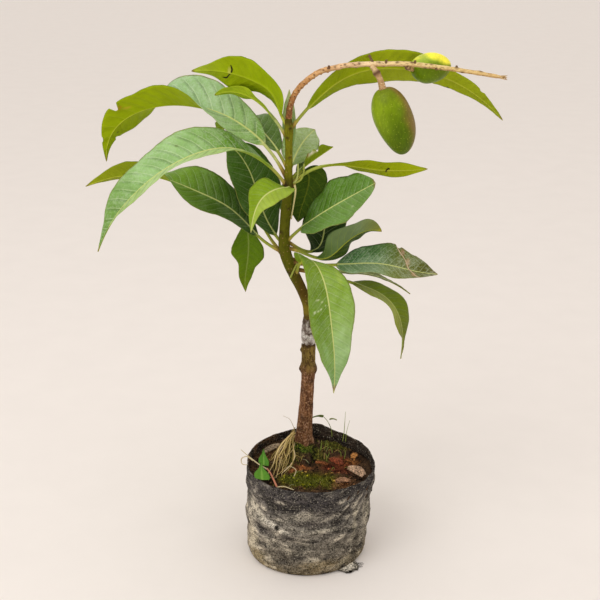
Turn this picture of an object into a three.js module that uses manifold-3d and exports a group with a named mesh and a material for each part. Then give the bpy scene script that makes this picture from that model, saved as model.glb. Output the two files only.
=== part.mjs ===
// A grafted mango sapling in a soft nursery grow bag, with a fruiting stalk and two young mangoes.
// Millimetres, +Z up. The origin is the centre of the bag's flat underside, -Y is the front.

import * as THREE from "three";
import { mergeVertices } from "three/addons/utils/BufferGeometryUtils.js";
import Module from "manifold-3d";

const wasm = await Module();
wasm.setup();

// ---------------------------------------------------------------- driving dimensions

const CLEARANCE = 0.3; // between a part and the one that carries it
const FINEST = 0.08; // shorter edges left by a cut are closed up

const BAG = {
  footRadius: 57, // flat underside
  sideRadius: 61.2, // just above the rounded foot
  rimRadius: 64.5,
  footShare: 0.1, // of the height, taken by the rounded foot
  rimHeight: 96,
  backRise: 8, // the rim stands higher at the back
  flapHeight: 6, // torn flap behind the trunk
  flapAngle: 84,
  flapWidth: 12, // degrees
  wall: 1.8,
  floor: 2,
  lean: 5, // sideways drift of the rim to the right
  crease: 1.1, // depth of the soft bulges
  creases: 5,
  creaseTurn: 0.8, // radians
  oval: 1,
  ovalTurn: 0.6, // radians
  sides: 44,
  rings: 8,
};

const SOIL = {
  edgeHeight: 89, // where the soil meets the bag
  moundHeight: 102,
  seatRadius: 12.5, // flat ground under the trunk
  reach: 50, // how far the mound falls away from the trunk
  lumps: 1.1, // height of the lumps, whose spacing follows
  lumpAcross: 6.3,
  lumpAlong: 5.1,
  lumpSlant: 9,
  lumpsGrow: 3, // they reach their height by a third of the way down
  edgeInset: 1, // the mound's edge stays this much further inside the bag
  wallShare: 0.95, // of the edge's height, up to which the soil follows the bag's wall
  rings: 7,
};

const TRUNK = {
  baseY: 36, // the foot stands behind the middle of the bag
  lean: 26, // and the tip leans forward by this much
  sides: 14,
  flare: 1.3, // height of the root flare's ribs
  flareReach: 12,
  flareRibs: 5,
};

// height, sideways offset and radius of the trunk, from the cut at the soil to the tip
const TRUNK_STATIONS = [
  { z: SOIL.moundHeight + CLEARANCE, x: -2.6, r: 10.2 },
  { z: 110, x: -2, r: 8.7 },
  { z: 127, x: -0.8, r: 7.8 },
  { z: 155, x: 1.2, r: 6.9 },
  { z: 180, x: 2.5, r: 6.9 },
  { z: 188, x: 2.6, r: 8.6 }, // swollen ring of an old node
  { z: 195, x: 2.6, r: 7.0 },
  { z: 211, x: 2.7, r: 7.0 }, // rootstock ends
  { z: 217, x: 2.7, r: 5.9 },
  { z: 227, x: 2.9, r: 5.7 }, // graft union
  { z: 237, x: 3.0, r: 5.2 },
  { z: 246, x: 2.4, r: 4.8 }, // scion
  { z: 260, x: 0.8, r: 4.9 },
  { z: 276, x: -5, r: 5.1 },
  { z: 291, x: -11.9, r: 5.5 },
  { z: 308, x: -18.7, r: 5.8 },
  { z: 320, x: -21.3, r: 5.6 }, // lower whorl
  { z: 336, x: -20.9, r: 5.1 },
  { z: 356, x: -19.6, r: 5.0 },
  { z: 376, x: -17.6, r: 4.6 },
  { z: 383, x: -17.1, r: 5.0 }, // middle whorl
  { z: 389, x: -16.9, r: 3.9 },
  { z: 405, x: -16.5, r: 3.6 },
  { z: 424, x: -16.4, r: 3.6 },
  { z: 434, x: -16.4, r: 4.2 }, // upper whorl
  { z: 442, x: -16.5, r: 3.7 },
  { z: 446, x: -16.5, r: 3.1 },
];

const WRAP = { from: 214, to: 240, thickness: 0.8, swell: 0.5, steps: 6 };

const STALK_Y = TRUNK.baseY - TRUNK.lean;

// the fruiting stalk arches up from the trunk's tip and runs out to the right
const STALK = {
  radius: [3.1, 2.8, 2.6, 2.5, 2.4, 2.3, 2.1, 1.8],
  route: [
    [-16.5, STALK_Y, 446 + CLEARANCE],
    [-15.6, STALK_Y, 458],
    [-11, STALK_Y, 471],
    [-1, STALK_Y, 481],
    [12, STALK_Y, 489],
    [31, STALK_Y, 494],
    [60, STALK_Y, 496],
    [93, STALK_Y, 496],
    [129, STALK_Y, 492],
    [179, STALK_Y, 484],
  ],
  bend: 0.33, // share of its length at which the upright foot ends and the arm begins
  sides: 10,
  rings: 28,
};

const TWIG = { sides: 8, rings: 5 };

const MANGO = { sides: 16, rings: 12, shoulder: 0.1, flatness: 0.93 };

// each mango hangs from its twig by the shoulder and points along a heading and a climb
const FRUITS = [
  {
    name: "mango_front",
    twig: [[59.6, STALK_Y, 495], [63.4, 9, 489], [67.6, 8, 481], [70.4, 7, 472]],
    footRadius: 2.9,
    tipRadius: 3.7,
    shoulder: [69.6, 7, 476],
    length: 66,
    radius: 18,
    heading: 0,
    climb: -73,
  },
  {
    name: "mango_back",
    twig: [[91, STALK_Y, 495.6], [92.5, 14, 493], [95, 20, 490.5], [100, 26, 489.5]],
    footRadius: 2.3,
    tipRadius: 2.6,
    shoulder: [97, 23.5, 489.4],
    length: 41,
    radius: 14,
    heading: 24,
    climb: 5,
  },
];

// ---------------------------------------------------------------- solids

const point = (x, y, z) => new THREE.Vector3(x, y, z);
const degrees = THREE.MathUtils.degToRad;

// A smooth function of 0 to 1 through evenly spaced values.
function spline(values) {
  const curve = new THREE.SplineCurve(values.map((value, i) => new THREE.Vector2(i, value)));
  return (t) => curve.getPoint(t).y;
}

// A closed skin over rings of points, which turn anticlockwise about the way they advance. From the
// turnAt'th point of each ring on, its squares are split along their other diagonal: a thin blade
// whose second half mirrors the first keeps its two sides parallel however it twists.
function loft(rings, turnAt = rings[0].length) {
  const around = rings[0].length;
  const last = (rings.length - 1) * around;
  const faces = [];
  for (let i = 0; i < last; i += around) {
    for (let j = 0; j < around; j += 1) {
      const a = i + j;
      const b = i + ((j + 1) % around);
      if (j < turnAt) {
        faces.push(a, b, b + around, a, b + around, a + around);
      } else {
        faces.push(a, b, a + around, b, b + around, a + around);
      }
    }
  }
  for (let j = 1; j < around - 1; j += 1) {
    faces.push(0, j + 1, j, last, last + j, last + j + 1);
  }
  const geometry = new THREE.BufferGeometry().setFromPoints(rings.flat());
  return geometry.setIndex(faces);
}

// A closed geometry as a solid that can be cut and joined.
function solidOf(geometry) {
  const bare = geometry.clone();
  bare.deleteAttribute("normal");
  bare.deleteAttribute("uv");
  const merged = mergeVertices(bare, 1e-4);
  return new wasm.Manifold(
    new wasm.Mesh({
      numProp: 3,
      vertProperties: merged.attributes.position.array,
      triVerts: new Uint32Array(merged.index.array),
    }),
  );
}

function geometryOf(solid) {
  const mesh = solid.simplify(FINEST).getMesh();
  const geometry = new THREE.BufferGeometry();
  geometry.setAttribute("position", new THREE.BufferAttribute(mesh.vertProperties, 3));
  geometry.setIndex(new THREE.BufferAttribute(mesh.triVerts, 1));
  return geometry;
}

// The two parts of a solid on either side of a plane through a point, with a gap between them.
function halves(solid, through, along) {
  const back = along.clone().negate();
  return [
    solid.trimByPlane(back.toArray(), back.dot(through) + CLEARANCE / 2),
    solid.trimByPlane(along.toArray(), along.dot(through) + CLEARANCE / 2),
  ];
}

// A round ring about a centre, square to a direction, with a radius for each angle.
function ring(centre, along, sides, radiusAt) {
  const up = point(0, 1, 0).addScaledVector(along, -along.y).normalize();
  const across = up.clone().cross(along);
  return Array.from({ length: sides }, (_, j) => {
    const angle = (j / sides) * 2 * Math.PI;
    const radius = radiusAt(angle);
    return centre
      .clone()
      .addScaledVector(across, radius * Math.cos(angle))
      .addScaledVector(up, radius * Math.sin(angle));
  });
}

// ---------------------------------------------------------------- trunk

const trunkBottom = TRUNK_STATIONS[0].z;
const trunkTop = TRUNK_STATIONS.at(-1).z;
const trunkY = (z) => TRUNK.baseY - (TRUNK.lean * (z - trunkBottom)) / (trunkTop - trunkBottom);
const trunkPath = new THREE.CatmullRomCurve3(
  TRUNK_STATIONS.map(({ x, z }) => point(x, trunkY(z), z)),
);
const trunkRadius = spline(TRUNK_STATIONS.map(({ r }) => r));

// The place on the trunk's path, 0 to 1, that has a given height.
function trunkPlace(height) {
  const halvings = 30;
  let low = 0;
  let high = 1;
  for (let i = 0; i < halvings; i += 1) {
    const middle = (low + high) / 2;
    if (trunkPath.getPoint(middle).z < height) {
      low = middle;
    } else {
      high = middle;
    }
  }
  return low;
}

function trunkRing(t, grown) {
  const centre = trunkPath.getPoint(t);
  const level = t === 0 || t === 1;
  const along = level ? point(0, 0, 1) : trunkPath.getTangent(t);
  const flare = TRUNK.flare * Math.exp(-(centre.z - trunkBottom) / TRUNK.flareReach);
  return ring(
    centre,
    along,
    TRUNK.sides,
    (angle) => trunkRadius(t) + grown + flare * Math.cos(TRUNK.flareRibs * angle),
  );
}

function trunkGeometry(grown = 0) {
  const steps = 2 * (TRUNK_STATIONS.length - 1);
  return loft(Array.from({ length: steps + 1 }, (_, i) => trunkRing(i / steps, grown)));
}

// A sleeve of dried graft wax around the union, thickest in its middle.
function wrapSolid() {
  const from = trunkPlace(WRAP.from);
  const to = trunkPlace(WRAP.to);
  const rings = [];
  for (let i = 0; i <= WRAP.steps; i += 1) {
    const share = i / WRAP.steps;
    const thickness = WRAP.thickness + WRAP.swell * Math.sin(Math.PI * share);
    rings.push(trunkRing(from + (to - from) * share, CLEARANCE + thickness));
  }
  return solidOf(loft(rings));
}

// ---------------------------------------------------------------- leaves

// Each leaf springs from the trunk at a height. Its heading (0 right, 90 back, 180 left, 270 front),
// its climb above the horizon, its roll about its own midrib and the fold that lifts its two halves
// off flat are given in degrees at even steps from the foot of the leaf stalk to the leaf tip. A leaf
// that arches over a wide space is cut at its bend, a share of its length, into the leaf and its end.
const LEAVES = [
  // top whorl
  {
    name: "leaf_top_left",
    at: 437, stalk: 13, blade: 103, width: 40, fold: [8, 8],
    heading: [170, 169, 171, 175],
    climb: [54, 72, 30, 16, 4, -7],
    roll: [0, 10, 50, 60, 60],
  },
  {
    name: "leaf_top_left_small",
    at: 426, stalk: 23, blade: 69, width: 24, fold: [8, 8],
    heading: [150, 159, 164],
    climb: [49, 50, 32, 7, -25],
    roll: [0, 35],
  },
  {
    name: "leaf_top_right",
    at: 434, stalk: 27, blade: 233, width: 39, fold: [8, 8], bend: 0.44,
    heading: [20, 20, 20, 19],
    climb: [50, 36, 3, -13, -31, -46],
    roll: [-50, -58, -50, -40],
  },
  // middle whorl
  {
    name: "leaf_mid_left_broad",
    at: 385, stalk: 42, blade: 199, width: 58, bend: 0.56,
    fold: [16, 16, 18, 24, 36, 48, 48, 22, 14, 12, 10],
    heading: [163, 160, 162, 170, 178, 182],
    climb: [64, 41, 17, -4, -35, -90],
    roll: [0, -30, -36, -34, -26, -14, -4, 28, 52, 60, 60],
  },
  {
    name: "leaf_mid_left_long",
    at: 379, stalk: 26, blade: 212, width: 50, fold: [30, 30], bend: 0.44,
    heading: [208, 206, 204, 202],
    climb: [56, 32, -6, -28, -46, -67],
    roll: [0, -20, -20, -10],
  },
  {
    name: "leaf_mid_front",
    at: 380, stalk: 8, blade: 80, width: 31, fold: [12, 12],
    heading: [280, 240, 226, 238, 246],
    climb: [10, 10, -15, -50, -76],
    roll: [0, -30, -20],
  },
  {
    name: "leaf_mid_right_folded",
    at: 384, stalk: 12, blade: 46, width: 26, fold: [32, 32],
    heading: [27, 30, 30],
    climb: [48, 27, 24],
    roll: [0, -55],
  },
  {
    name: "leaf_mid_right_narrow",
    at: 375, stalk: 41, blade: 103, width: 22, fold: [8, 8],
    heading: [-5, 4, 5, 5],
    climb: [60, 20, -10, -3, 4],
    roll: [0, -15, -50, -80],
  },
  {
    name: "leaf_mid_back",
    at: 391, stalk: 12, blade: 50, width: 36, fold: [12, 12],
    heading: [69, 60, 50],
    climb: [48, 37, 20],
    roll: [0, 36],
  },
  {
    name: "leaf_mid_back_erect",
    at: 402, stalk: 10, blade: 60, width: 13, fold: [10, 10],
    heading: [84, 92, 84],
    climb: [70, 78, 80],
    roll: [0, 0],
  },
  {
    name: "leaf_mid_back_hanging",
    at: 378, stalk: 25, blade: 62, width: 40, fold: [10, 10],
    heading: [57, 35],
    climb: [22, 32, -91, -115, -101],
    roll: [0, -30, -60, -70],
  },
  {
    name: "leaf_mid_back_left",
    at: 396, stalk: 22, blade: 120, width: 44, fold: [12, 12],
    heading: [130, 126, 122],
    climb: [48, 26, -10, -40],
    roll: [0, 0],
  },
  // lower whorl
  {
    name: "leaf_low_left_dark",
    at: 313, stalk: 31, blade: 188, width: 50, fold: [18, 18],
    heading: [173, 173, 174, 177],
    climb: [21, 48, 25, 19, -6, -24],
    roll: [0, -25, -30, 40, 50],
  },
  {
    name: "leaf_low_left_back",
    at: 321, stalk: 13, blade: 109, width: 50, fold: [12, 12],
    heading: [150, 139, 139],
    climb: [39, 58, 69, 46, 16],
    roll: [0, -38],
  },
  {
    name: "leaf_low_left_hanging",
    at: 304, stalk: 57, blade: 72, width: 34, fold: [12, 12],
    heading: [150, 150, 176, 180],
    climb: [42, 46, 42, -82, -85, -81, -96],
    roll: [0, -40, -85, -85],
  },
  {
    name: "leaf_low_right_broad",
    at: 322, stalk: 25, blade: 89, width: 54, fold: [8, 8],
    heading: [340, 340, 340],
    climb: [49, 38, 33, 32],
    roll: [0, 40, 45],
  },
  {
    name: "leaf_low_back",
    at: 335, stalk: 18, blade: 116, width: 44, fold: [10, 10],
    heading: [78, 68, 60],
    climb: [40, 20, -12, -36],
    roll: [0, 0],
  },
  {
    name: "leaf_low_right_dark",
    at: 327, stalk: 32, blade: 70, width: 44, fold: [10, 10],
    heading: [23, 24, 80, 78],
    climb: [-36, -22, 66, 52, 44],
    roll: [0, 0],
  },
  {
    name: "leaf_low_right_back",
    at: 319, stalk: 32, blade: 76, width: 44, fold: [12, 12],
    heading: [350, 358, 375, 390],
    climb: [-8, -20, 42, 22, -24],
    roll: [0, -50, -40],
  },
  {
    name: "leaf_low_right_long",
    at: 304, stalk: 47, blade: 99, width: 44, fold: [20, 20],
    heading: [351, 351, 351, 351],
    climb: [-8, 3, 5, -12, -2],
    roll: [0, 27, 27],
  },
  {
    name: "leaf_low_right_thin",
    at: 308, stalk: 52, blade: 90, width: 18, fold: [8, 8],
    heading: [24, 16, 12],
    climb: [-20, -23, -8, -24, -40],
    roll: [0, 0],
  },
  {
    name: "leaf_low_right_hanging",
    at: 297, stalk: 60, blade: 106, width: 36, fold: [12, 12],
    heading: [358, 352, 350],
    climb: [-10, -14, -23, -73, -98],
    roll: [0, 20],
  },
  {
    name: "leaf_low_front",
    at: 288, stalk: 24, blade: 170, width: 48, fold: [11, 11], bend: 0.42,
    heading: [287, 299, 305],
    climb: [60, 10, -66, -80, -96],
    roll: [0, -30, 0, 4, 8],
  },
];

const LEAF = {
  thicknessShare: 1 / 95, // of the blade's length
  stalkRadius: 1.5,
  stalkFootRadius: 2.1,
  tipRadius: 0.5,
  widest: 0.88, // under 1, the blade is widest before its middle
  bluntness: 0.7, // under 1, the blade's ends are fuller than a sine's
  dripTip: 0.35, // how much narrower the drip tip is drawn
  dripTipFrom: 0.76, // where on the blade it starts
  thinning: 3, // the stalk's thickness is lost by a third of the blade
  opening: 4, // the blade has opened out by a quarter of its length
  stalkShoulder: 0.87, // half height of the section halfway to its edge, on the stalk
  bladeShoulder: 0.6, // and on the blade
  waves: 2.4,
  waveHeight: 0.05, // of the width
  waveLag: 1.9, // radians, of one edge behind the other
  stalkRings: 4,
  bladeRings: 12,
  courseSteps: 8, // from ring to ring
};

const unit = (heading, climb) =>
  point(
    Math.cos(climb) * Math.cos(heading),
    Math.cos(climb) * Math.sin(heading),
    Math.sin(climb),
  );

// Half the width of a mango leaf, as a share of its greatest, along its blade from 0 to 1.
function bladeOutline(u) {
  const body = Math.max(0, Math.sin(Math.PI * u ** LEAF.widest)) ** LEAF.bluntness;
  return body * (1 - LEAF.dripTip * THREE.MathUtils.smoothstep(u, LEAF.dripTipFrom, 1));
}

// The way a leaf runs at a place on its course, and the ways its left edge and its upper side face.
function leafFrame(leaf, place) {
  const heading = degrees(spline(leaf.heading)(place));
  const along = unit(heading, degrees(spline(leaf.climb)(place)));
  const level = point(-Math.sin(heading), Math.cos(heading), 0);
  const above = along.clone().cross(level);
  const roll = degrees(spline(leaf.roll)(place));
  return {
    along,
    side: level.clone().multiplyScalar(Math.cos(roll)).addScaledVector(above, Math.sin(roll)),
    upper: above.multiplyScalar(Math.cos(roll)).addScaledVector(level, -Math.sin(roll)),
  };
}

// The points of a leaf's midrib at the given places on its course, walked from the trunk outwards.
function leafMidrib(leaf, places) {
  const length = leaf.stalk + leaf.blade;
  const centre = trunkPath.getPoint(trunkPlace(leaf.at));
  let from = 0;
  return places.map((place) => {
    const step = (place - from) / LEAF.courseSteps;
    for (let k = 0; k < LEAF.courseSteps; k += 1) {
      const { along } = leafFrame(leaf, from + (k + 0.5) * step);
      centre.addScaledVector(along, step * length);
    }
    from = place;
    return centre.clone();
  });
}

// The leaf's section at a place: a round stalk that opens into a thin blade, folded along its midrib.
function leafRing(leaf, place, centre) {
  const { side, upper } = leafFrame(leaf, place);
  const bladeFrom = leaf.stalk / (leaf.stalk + leaf.blade);
  const u = Math.max(0, (place - bladeFrom) / (1 - bladeFrom));
  const { lerp } = THREE.MathUtils;
  const bladeThick = (leaf.blade * LEAF.thicknessShare) / 2;
  let half = lerp(LEAF.stalkFootRadius, LEAF.stalkRadius, Math.min(1, place / bladeFrom));
  let thick = half;
  if (u > 0) {
    half = Math.max((leaf.width / 2) * bladeOutline(u), LEAF.tipRadius);
    thick = lerp(LEAF.stalkRadius, bladeThick, Math.min(1, LEAF.thinning * u));
  }
  const open = Math.min(1, LEAF.opening * u);
  const shoulder = lerp(LEAF.stalkShoulder, LEAF.bladeShoulder, open);
  const fold = degrees(spline(leaf.fold)(place)) * open;
  const wave = LEAF.waveHeight * leaf.width * Math.sin(Math.PI * u);
  const section = [
    [-1, 0], [-0.5, -shoulder], [0, -1], [0.5, -shoulder],
    [1, 0], [0.5, shoulder], [0, 1], [-0.5, shoulder],
  ];
  return section.map(([x, y]) => {
    const out = Math.abs(x);
    const turn = 2 * Math.PI * LEAF.waves * u + (x > 0 ? 0 : LEAF.waveLag);
    const ripple = wave * out * out * Math.sin(turn);
    return centre
      .clone()
      .addScaledVector(side, x * half * Math.cos(fold))
      .addScaledVector(upper, y * thick + half * out * Math.sin(fold) + ripple);
  });
}

function leafGeometry(leaf) {
  const bladeFrom = leaf.stalk / (leaf.stalk + leaf.blade);
  const places = [];
  for (let i = 0; i < LEAF.stalkRings; i += 1) {
    places.push((bladeFrom * i) / LEAF.stalkRings);
  }
  for (let i = 0; i <= LEAF.bladeRings; i += 1) {
    places.push(bladeFrom + ((1 - bladeFrom) * i) / LEAF.bladeRings);
  }
  const midrib = leafMidrib(leaf, places);
  const rings = places.map((place, i) => leafRing(leaf, place, midrib[i]));
  return loft(rings, rings[0].length / 2);
}

// ---------------------------------------------------------------- fruiting stalk and mangoes

const stalkPath = new THREE.CatmullRomCurve3(STALK.route.map((at) => point(...at)));
const stalkRadius = spline(STALK.radius);

function stalkGeometry(grown = 0) {
  const rings = [];
  for (let i = 0; i <= STALK.rings; i += 1) {
    const t = i / STALK.rings;
    const along = i === 0 ? point(0, 0, 1) : stalkPath.getTangent(t);
    rings.push(ring(stalkPath.getPoint(t), along, STALK.sides, () => stalkRadius(t) + grown));
  }
  return loft(rings);
}

function twigGeometry(fruit) {
  const path = new THREE.CatmullRomCurve3(fruit.twig.map((at) => point(...at)));
  const rings = [];
  for (let i = 0; i <= TWIG.rings; i += 1) {
    const t = i / TWIG.rings;
    const radius = THREE.MathUtils.lerp(fruit.footRadius, fruit.tipRadius, t);
    rings.push(ring(path.getPoint(t), path.getTangent(t), TWIG.sides, () => radius));
  }
  return loft(rings);
}

// A young mango: an egg with a fuller shoulder, a little flatter from front to back.
function mangoGeometry(fruit) {
  const profile = [];
  for (let i = 0; i <= MANGO.rings; i += 1) {
    const angle = (Math.PI * i) / MANGO.rings;
    const fullness = 1 + MANGO.shoulder * Math.cos(angle);
    const radius = i === 0 || i === MANGO.rings ? 0 : fruit.radius * Math.sin(angle) * fullness;
    profile.push(new THREE.Vector2(radius, ((1 - Math.cos(angle)) / 2) * fruit.length));
  }
  const geometry = new THREE.LatheGeometry(profile, MANGO.sides);
  geometry.scale(1, 1, MANGO.flatness);
  const axis = unit(degrees(fruit.heading), degrees(fruit.climb));
  geometry.applyQuaternion(new THREE.Quaternion().setFromUnitVectors(point(0, 1, 0), axis));
  return geometry.translate(...fruit.shoulder);
}

function fruitSolid(fruit) {
  const twig = solidOf(twigGeometry(fruit));
  return twig.add(solidOf(mangoGeometry(fruit))).subtract(solidOf(stalkGeometry(CLEARANCE)));
}

// ---------------------------------------------------------------- grow bag and soil

const bagAngles = Array.from({ length: BAG.sides }, (_, j) => (j * 360) / BAG.sides);

function rimHeight(angle) {
  const back = BAG.backRise * Math.max(0, Math.sin(degrees(angle)));
  const off = (angle - BAG.flapAngle) / BAG.flapWidth;
  return BAG.rimHeight + back + BAG.flapHeight * Math.exp(-off * off);
}

// The bag's outer radius: a rounded foot, soft bulges between creases, and a wider rim.
function bagRadius(angle, share) {
  const foot = Math.min(1, share / BAG.footShare);
  const rounded = THREE.MathUtils.lerp(BAG.footRadius, BAG.sideRadius, Math.sqrt(foot * (2 - foot)));
  const spread = (BAG.rimRadius - BAG.sideRadius) * share;
  const slant = degrees(angle);
  const creaseAt = BAG.creases * Math.PI * share + Math.sin(slant) + BAG.creaseTurn;
  const bulge = BAG.crease * Math.sin(creaseAt);
  const oval = BAG.oval * Math.cos(2 * slant + BAG.ovalTurn);
  return rounded + foot * (spread + bulge * Math.sin(Math.PI * share) + oval * share);
}

function bagPoint(angle, share, inset) {
  const radius = bagRadius(angle, share) - inset;
  const slant = degrees(angle);
  return point(
    radius * Math.cos(slant) + BAG.lean * share,
    radius * Math.sin(slant),
    rimHeight(angle) * share,
  );
}

// The rings of the bag's wall from the foot to the rim, drawn in by an inset.
function wallRings(inset) {
  return Array.from({ length: BAG.rings + 1 }, (_, i) =>
    bagAngles.map((angle) => bagPoint(angle, i / BAG.rings, inset)),
  );
}

// The foot's ring, drawn in by an inset and laid flat at a height.
function floorRing(inset, height) {
  return bagAngles.map((angle) => bagPoint(angle, 0, inset).setZ(height));
}

function bagGeometry() {
  const outer = wallRings(0);
  const inner = wallRings(BAG.wall).slice(1).reverse();
  return loft([...outer, ...inner, floorRing(BAG.wall, BAG.floor)]);
}

// The mound of soil falls from the trunk towards the bag's wall, with a flat seat under the trunk.
function soilHeight(x, y) {
  const fromSeat = Math.hypot(x - TRUNK_STATIONS[0].x, y - TRUNK.baseY) - SOIL.seatRadius;
  const fall = THREE.MathUtils.clamp(fromSeat / SOIL.reach, 0, 1);
  const slope = Math.sin((fall * Math.PI) / 2);
  const crossed = Math.sin(x / SOIL.lumpAcross) * Math.cos(y / SOIL.lumpAlong);
  const lumps = crossed + Math.sin((x + y) / SOIL.lumpSlant);
  const smooth = THREE.MathUtils.lerp(SOIL.moundHeight, SOIL.edgeHeight, slope);
  return smooth + SOIL.lumps * lumps * Math.min(1, SOIL.lumpsGrow * fall);
}

// The ring where the mound meets the bag's wall.
function soilEdge(inset) {
  return bagAngles.map((angle) => {
    const at = bagPoint(angle, SOIL.edgeHeight / rimHeight(angle), inset + SOIL.edgeInset);
    return at.setZ(soilHeight(at.x, at.y));
  });
}

// The ring of flat ground that the trunk stands on.
function soilSeat() {
  return bagAngles.map((angle) =>
    point(
      TRUNK_STATIONS[0].x + SOIL.seatRadius * Math.cos(degrees(angle)),
      TRUNK.baseY + SOIL.seatRadius * Math.sin(degrees(angle)),
      SOIL.moundHeight,
    ),
  );
}

function soilGeometry() {
  const inset = BAG.wall + CLEARANCE;
  const wallTop = SOIL.edgeHeight * SOIL.wallShare;
  const wall = wallRings(inset).slice(1).filter((around) => around[0].z < wallTop);
  const edge = soilEdge(inset);
  const seat = soilSeat();
  const mound = Array.from({ length: SOIL.rings }, (_, i) =>
    edge.map((from, j) => {
      const at = from.clone().lerp(seat[j], i / SOIL.rings);
      return at.setZ(soilHeight(at.x, at.y));
    }),
  );
  return loft([floorRing(inset, BAG.floor + CLEARANCE), ...wall, ...mound, seat]);
}

// ---------------------------------------------------------------- the scene graph

const COLOURS = {
  bag: { color: 0x55514a, roughness: 0.95 },
  soil: { color: 0x4a3a22, roughness: 1 },
  bark: { color: 0x6b4a34, roughness: 0.85 },
  wax: { color: 0x9a938c, roughness: 0.8 },
  stalk: { color: 0xb98a58, roughness: 0.7 },
  fruit: { color: 0x6f8f2a, roughness: 0.45 },
  leaf: { color: 0x4d7a33, roughness: 0.45 },
};

const sapling = new THREE.Group();
sapling.name = "mango_sapling";

function place(name, geometry, look) {
  const material = new THREE.MeshStandardMaterial({ metalness: 0, ...look });
  const mesh = new THREE.Mesh(geometry, material);
  mesh.name = name;
  sapling.add(mesh);
}

const trunkRoom = solidOf(trunkGeometry(CLEARANCE));

place("grow_bag", bagGeometry(), COLOURS.bag);
place("soil", soilGeometry(), COLOURS.soil);
place("trunk", trunkGeometry(), COLOURS.bark);
place("graft_wrap", geometryOf(wrapSolid().subtract(trunkRoom)), COLOURS.wax);

const stalkBend = [stalkPath.getPoint(STALK.bend), stalkPath.getTangent(STALK.bend)];
const [stalkFoot, stalkArm] = halves(solidOf(stalkGeometry()), ...stalkBend);
place("fruiting_stalk_foot", geometryOf(stalkFoot), COLOURS.stalk);
place("fruiting_stalk_arm", geometryOf(stalkArm), COLOURS.stalk);
for (const fruit of FRUITS) {
  place(fruit.name, geometryOf(fruitSolid(fruit)), COLOURS.fruit);
}

for (const leaf of LEAVES) {
  const solid = solidOf(leafGeometry(leaf)).subtract(trunkRoom);
  if (leaf.bend) {
    const [bend] = leafMidrib(leaf, [leaf.bend]);
    const [near, end] = halves(solid, bend, leafFrame(leaf, leaf.bend).along);
    place(leaf.name, geometryOf(near), COLOURS.leaf);
    place(`${leaf.name}_end`, geometryOf(end), COLOURS.leaf);
  } else {
    place(leaf.name, geometryOf(solid), COLOURS.leaf);
  }
}

export default sapling;
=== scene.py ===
"""A grafted mango sapling in a soft fabric grow bag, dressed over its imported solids.

The builders work in millimetres, +Z up, and each piece is scaled to metres as it is made.
"""

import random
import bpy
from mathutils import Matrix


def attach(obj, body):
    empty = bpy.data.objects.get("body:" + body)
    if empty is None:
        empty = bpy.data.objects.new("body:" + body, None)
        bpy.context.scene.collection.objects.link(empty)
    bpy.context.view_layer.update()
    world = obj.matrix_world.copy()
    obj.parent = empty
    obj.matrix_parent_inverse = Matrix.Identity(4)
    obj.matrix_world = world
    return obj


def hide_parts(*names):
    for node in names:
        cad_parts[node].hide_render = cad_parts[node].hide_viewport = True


bl_info = {
    "name": "Mango Sapling",
    "version": (1, 0, 0),
    "blender": (4, 5, 0),
    "location": "View3D > Sidebar > Sapling",
    "description": "Builds a grafted mango sapling in a fabric grow bag",
    "category": "Object",
}

from math import cos, exp, hypot, pi, radians, sin, sqrt
from types import SimpleNamespace

import bpy
from bpy.props import FloatProperty, FloatVectorProperty, PointerProperty
from mathutils import Vector, noise

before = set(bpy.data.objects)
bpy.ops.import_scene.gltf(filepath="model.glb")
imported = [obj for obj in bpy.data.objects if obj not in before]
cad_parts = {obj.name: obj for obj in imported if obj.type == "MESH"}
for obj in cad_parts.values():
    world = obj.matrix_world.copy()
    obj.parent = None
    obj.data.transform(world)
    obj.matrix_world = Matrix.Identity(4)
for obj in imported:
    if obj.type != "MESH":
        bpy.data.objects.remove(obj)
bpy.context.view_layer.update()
MM = 0.001
UP = Vector((0, 0, 1))
SEEDS = {"corner": 5, "crumbs": 11, "moss": 12, "straw": 13, "grass": 14, "fibres": 21}

# ---------------------------------------------------------------- measures of the solids

# height, sideways offset and radius of the trunk
TRUNK = (
    (102.3, -2.6, 10.2), (110, -2, 8.7), (127, -0.8, 7.8), (155, 1.2, 6.9), (180, 2.5, 6.9),
    (188, 2.6, 8.6), (195, 2.6, 7), (211, 2.7, 7), (217, 2.7, 5.9), (227, 2.9, 5.7), (237, 3, 5.2),
    (246, 2.4, 4.8), (260, 0.8, 4.9), (276, -5, 5.1), (291, -11.9, 5.5), (308, -18.7, 5.8),
    (320, -21.3, 5.6), (336, -20.9, 5.1), (356, -19.6, 5), (376, -17.6, 4.6), (383, -17.1, 5),
    (389, -16.9, 3.9), (405, -16.5, 3.6), (424, -16.4, 3.6), (434, -16.4, 4.2), (442, -16.5, 3.7),
    (446, -16.5, 3.1),
)
TRUNK_BASE_Y = 36
TRUNK_LEAN = 26
WRAP = (216, 244)

STALK_Y = TRUNK_BASE_Y - TRUNK_LEAN
STALK = (
    (-16.5, 446.3), (-15, 458), (-9.6, 470.6), (-0.4, 480.6), (12, 489),
    (31, 494), (60, 496), (93, 496), (129, 492), (179, 484),
)
STALK_RADIUS = (3.1, 2.8, 2.6, 2.5, 2.4, 2.3, 2.1, 1.8)
STALK_LENGTH = 245

BAG = {
    "foot": 57, "side": 61.2, "rim": 64.5, "foot_share": 0.1, "height": 96, "back_rise": 8,
    "flap": 6, "flap_angle": 84, "flap_width": 12, "lean": 5, "crease": 1.1, "creases": 5,
    "crease_turn": 0.8, "oval": 1, "oval_turn": 0.6,
}
SOIL = {"edge": 89, "mound": 102, "seat": 12.5, "reach": 50, "skirt": 72}

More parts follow.
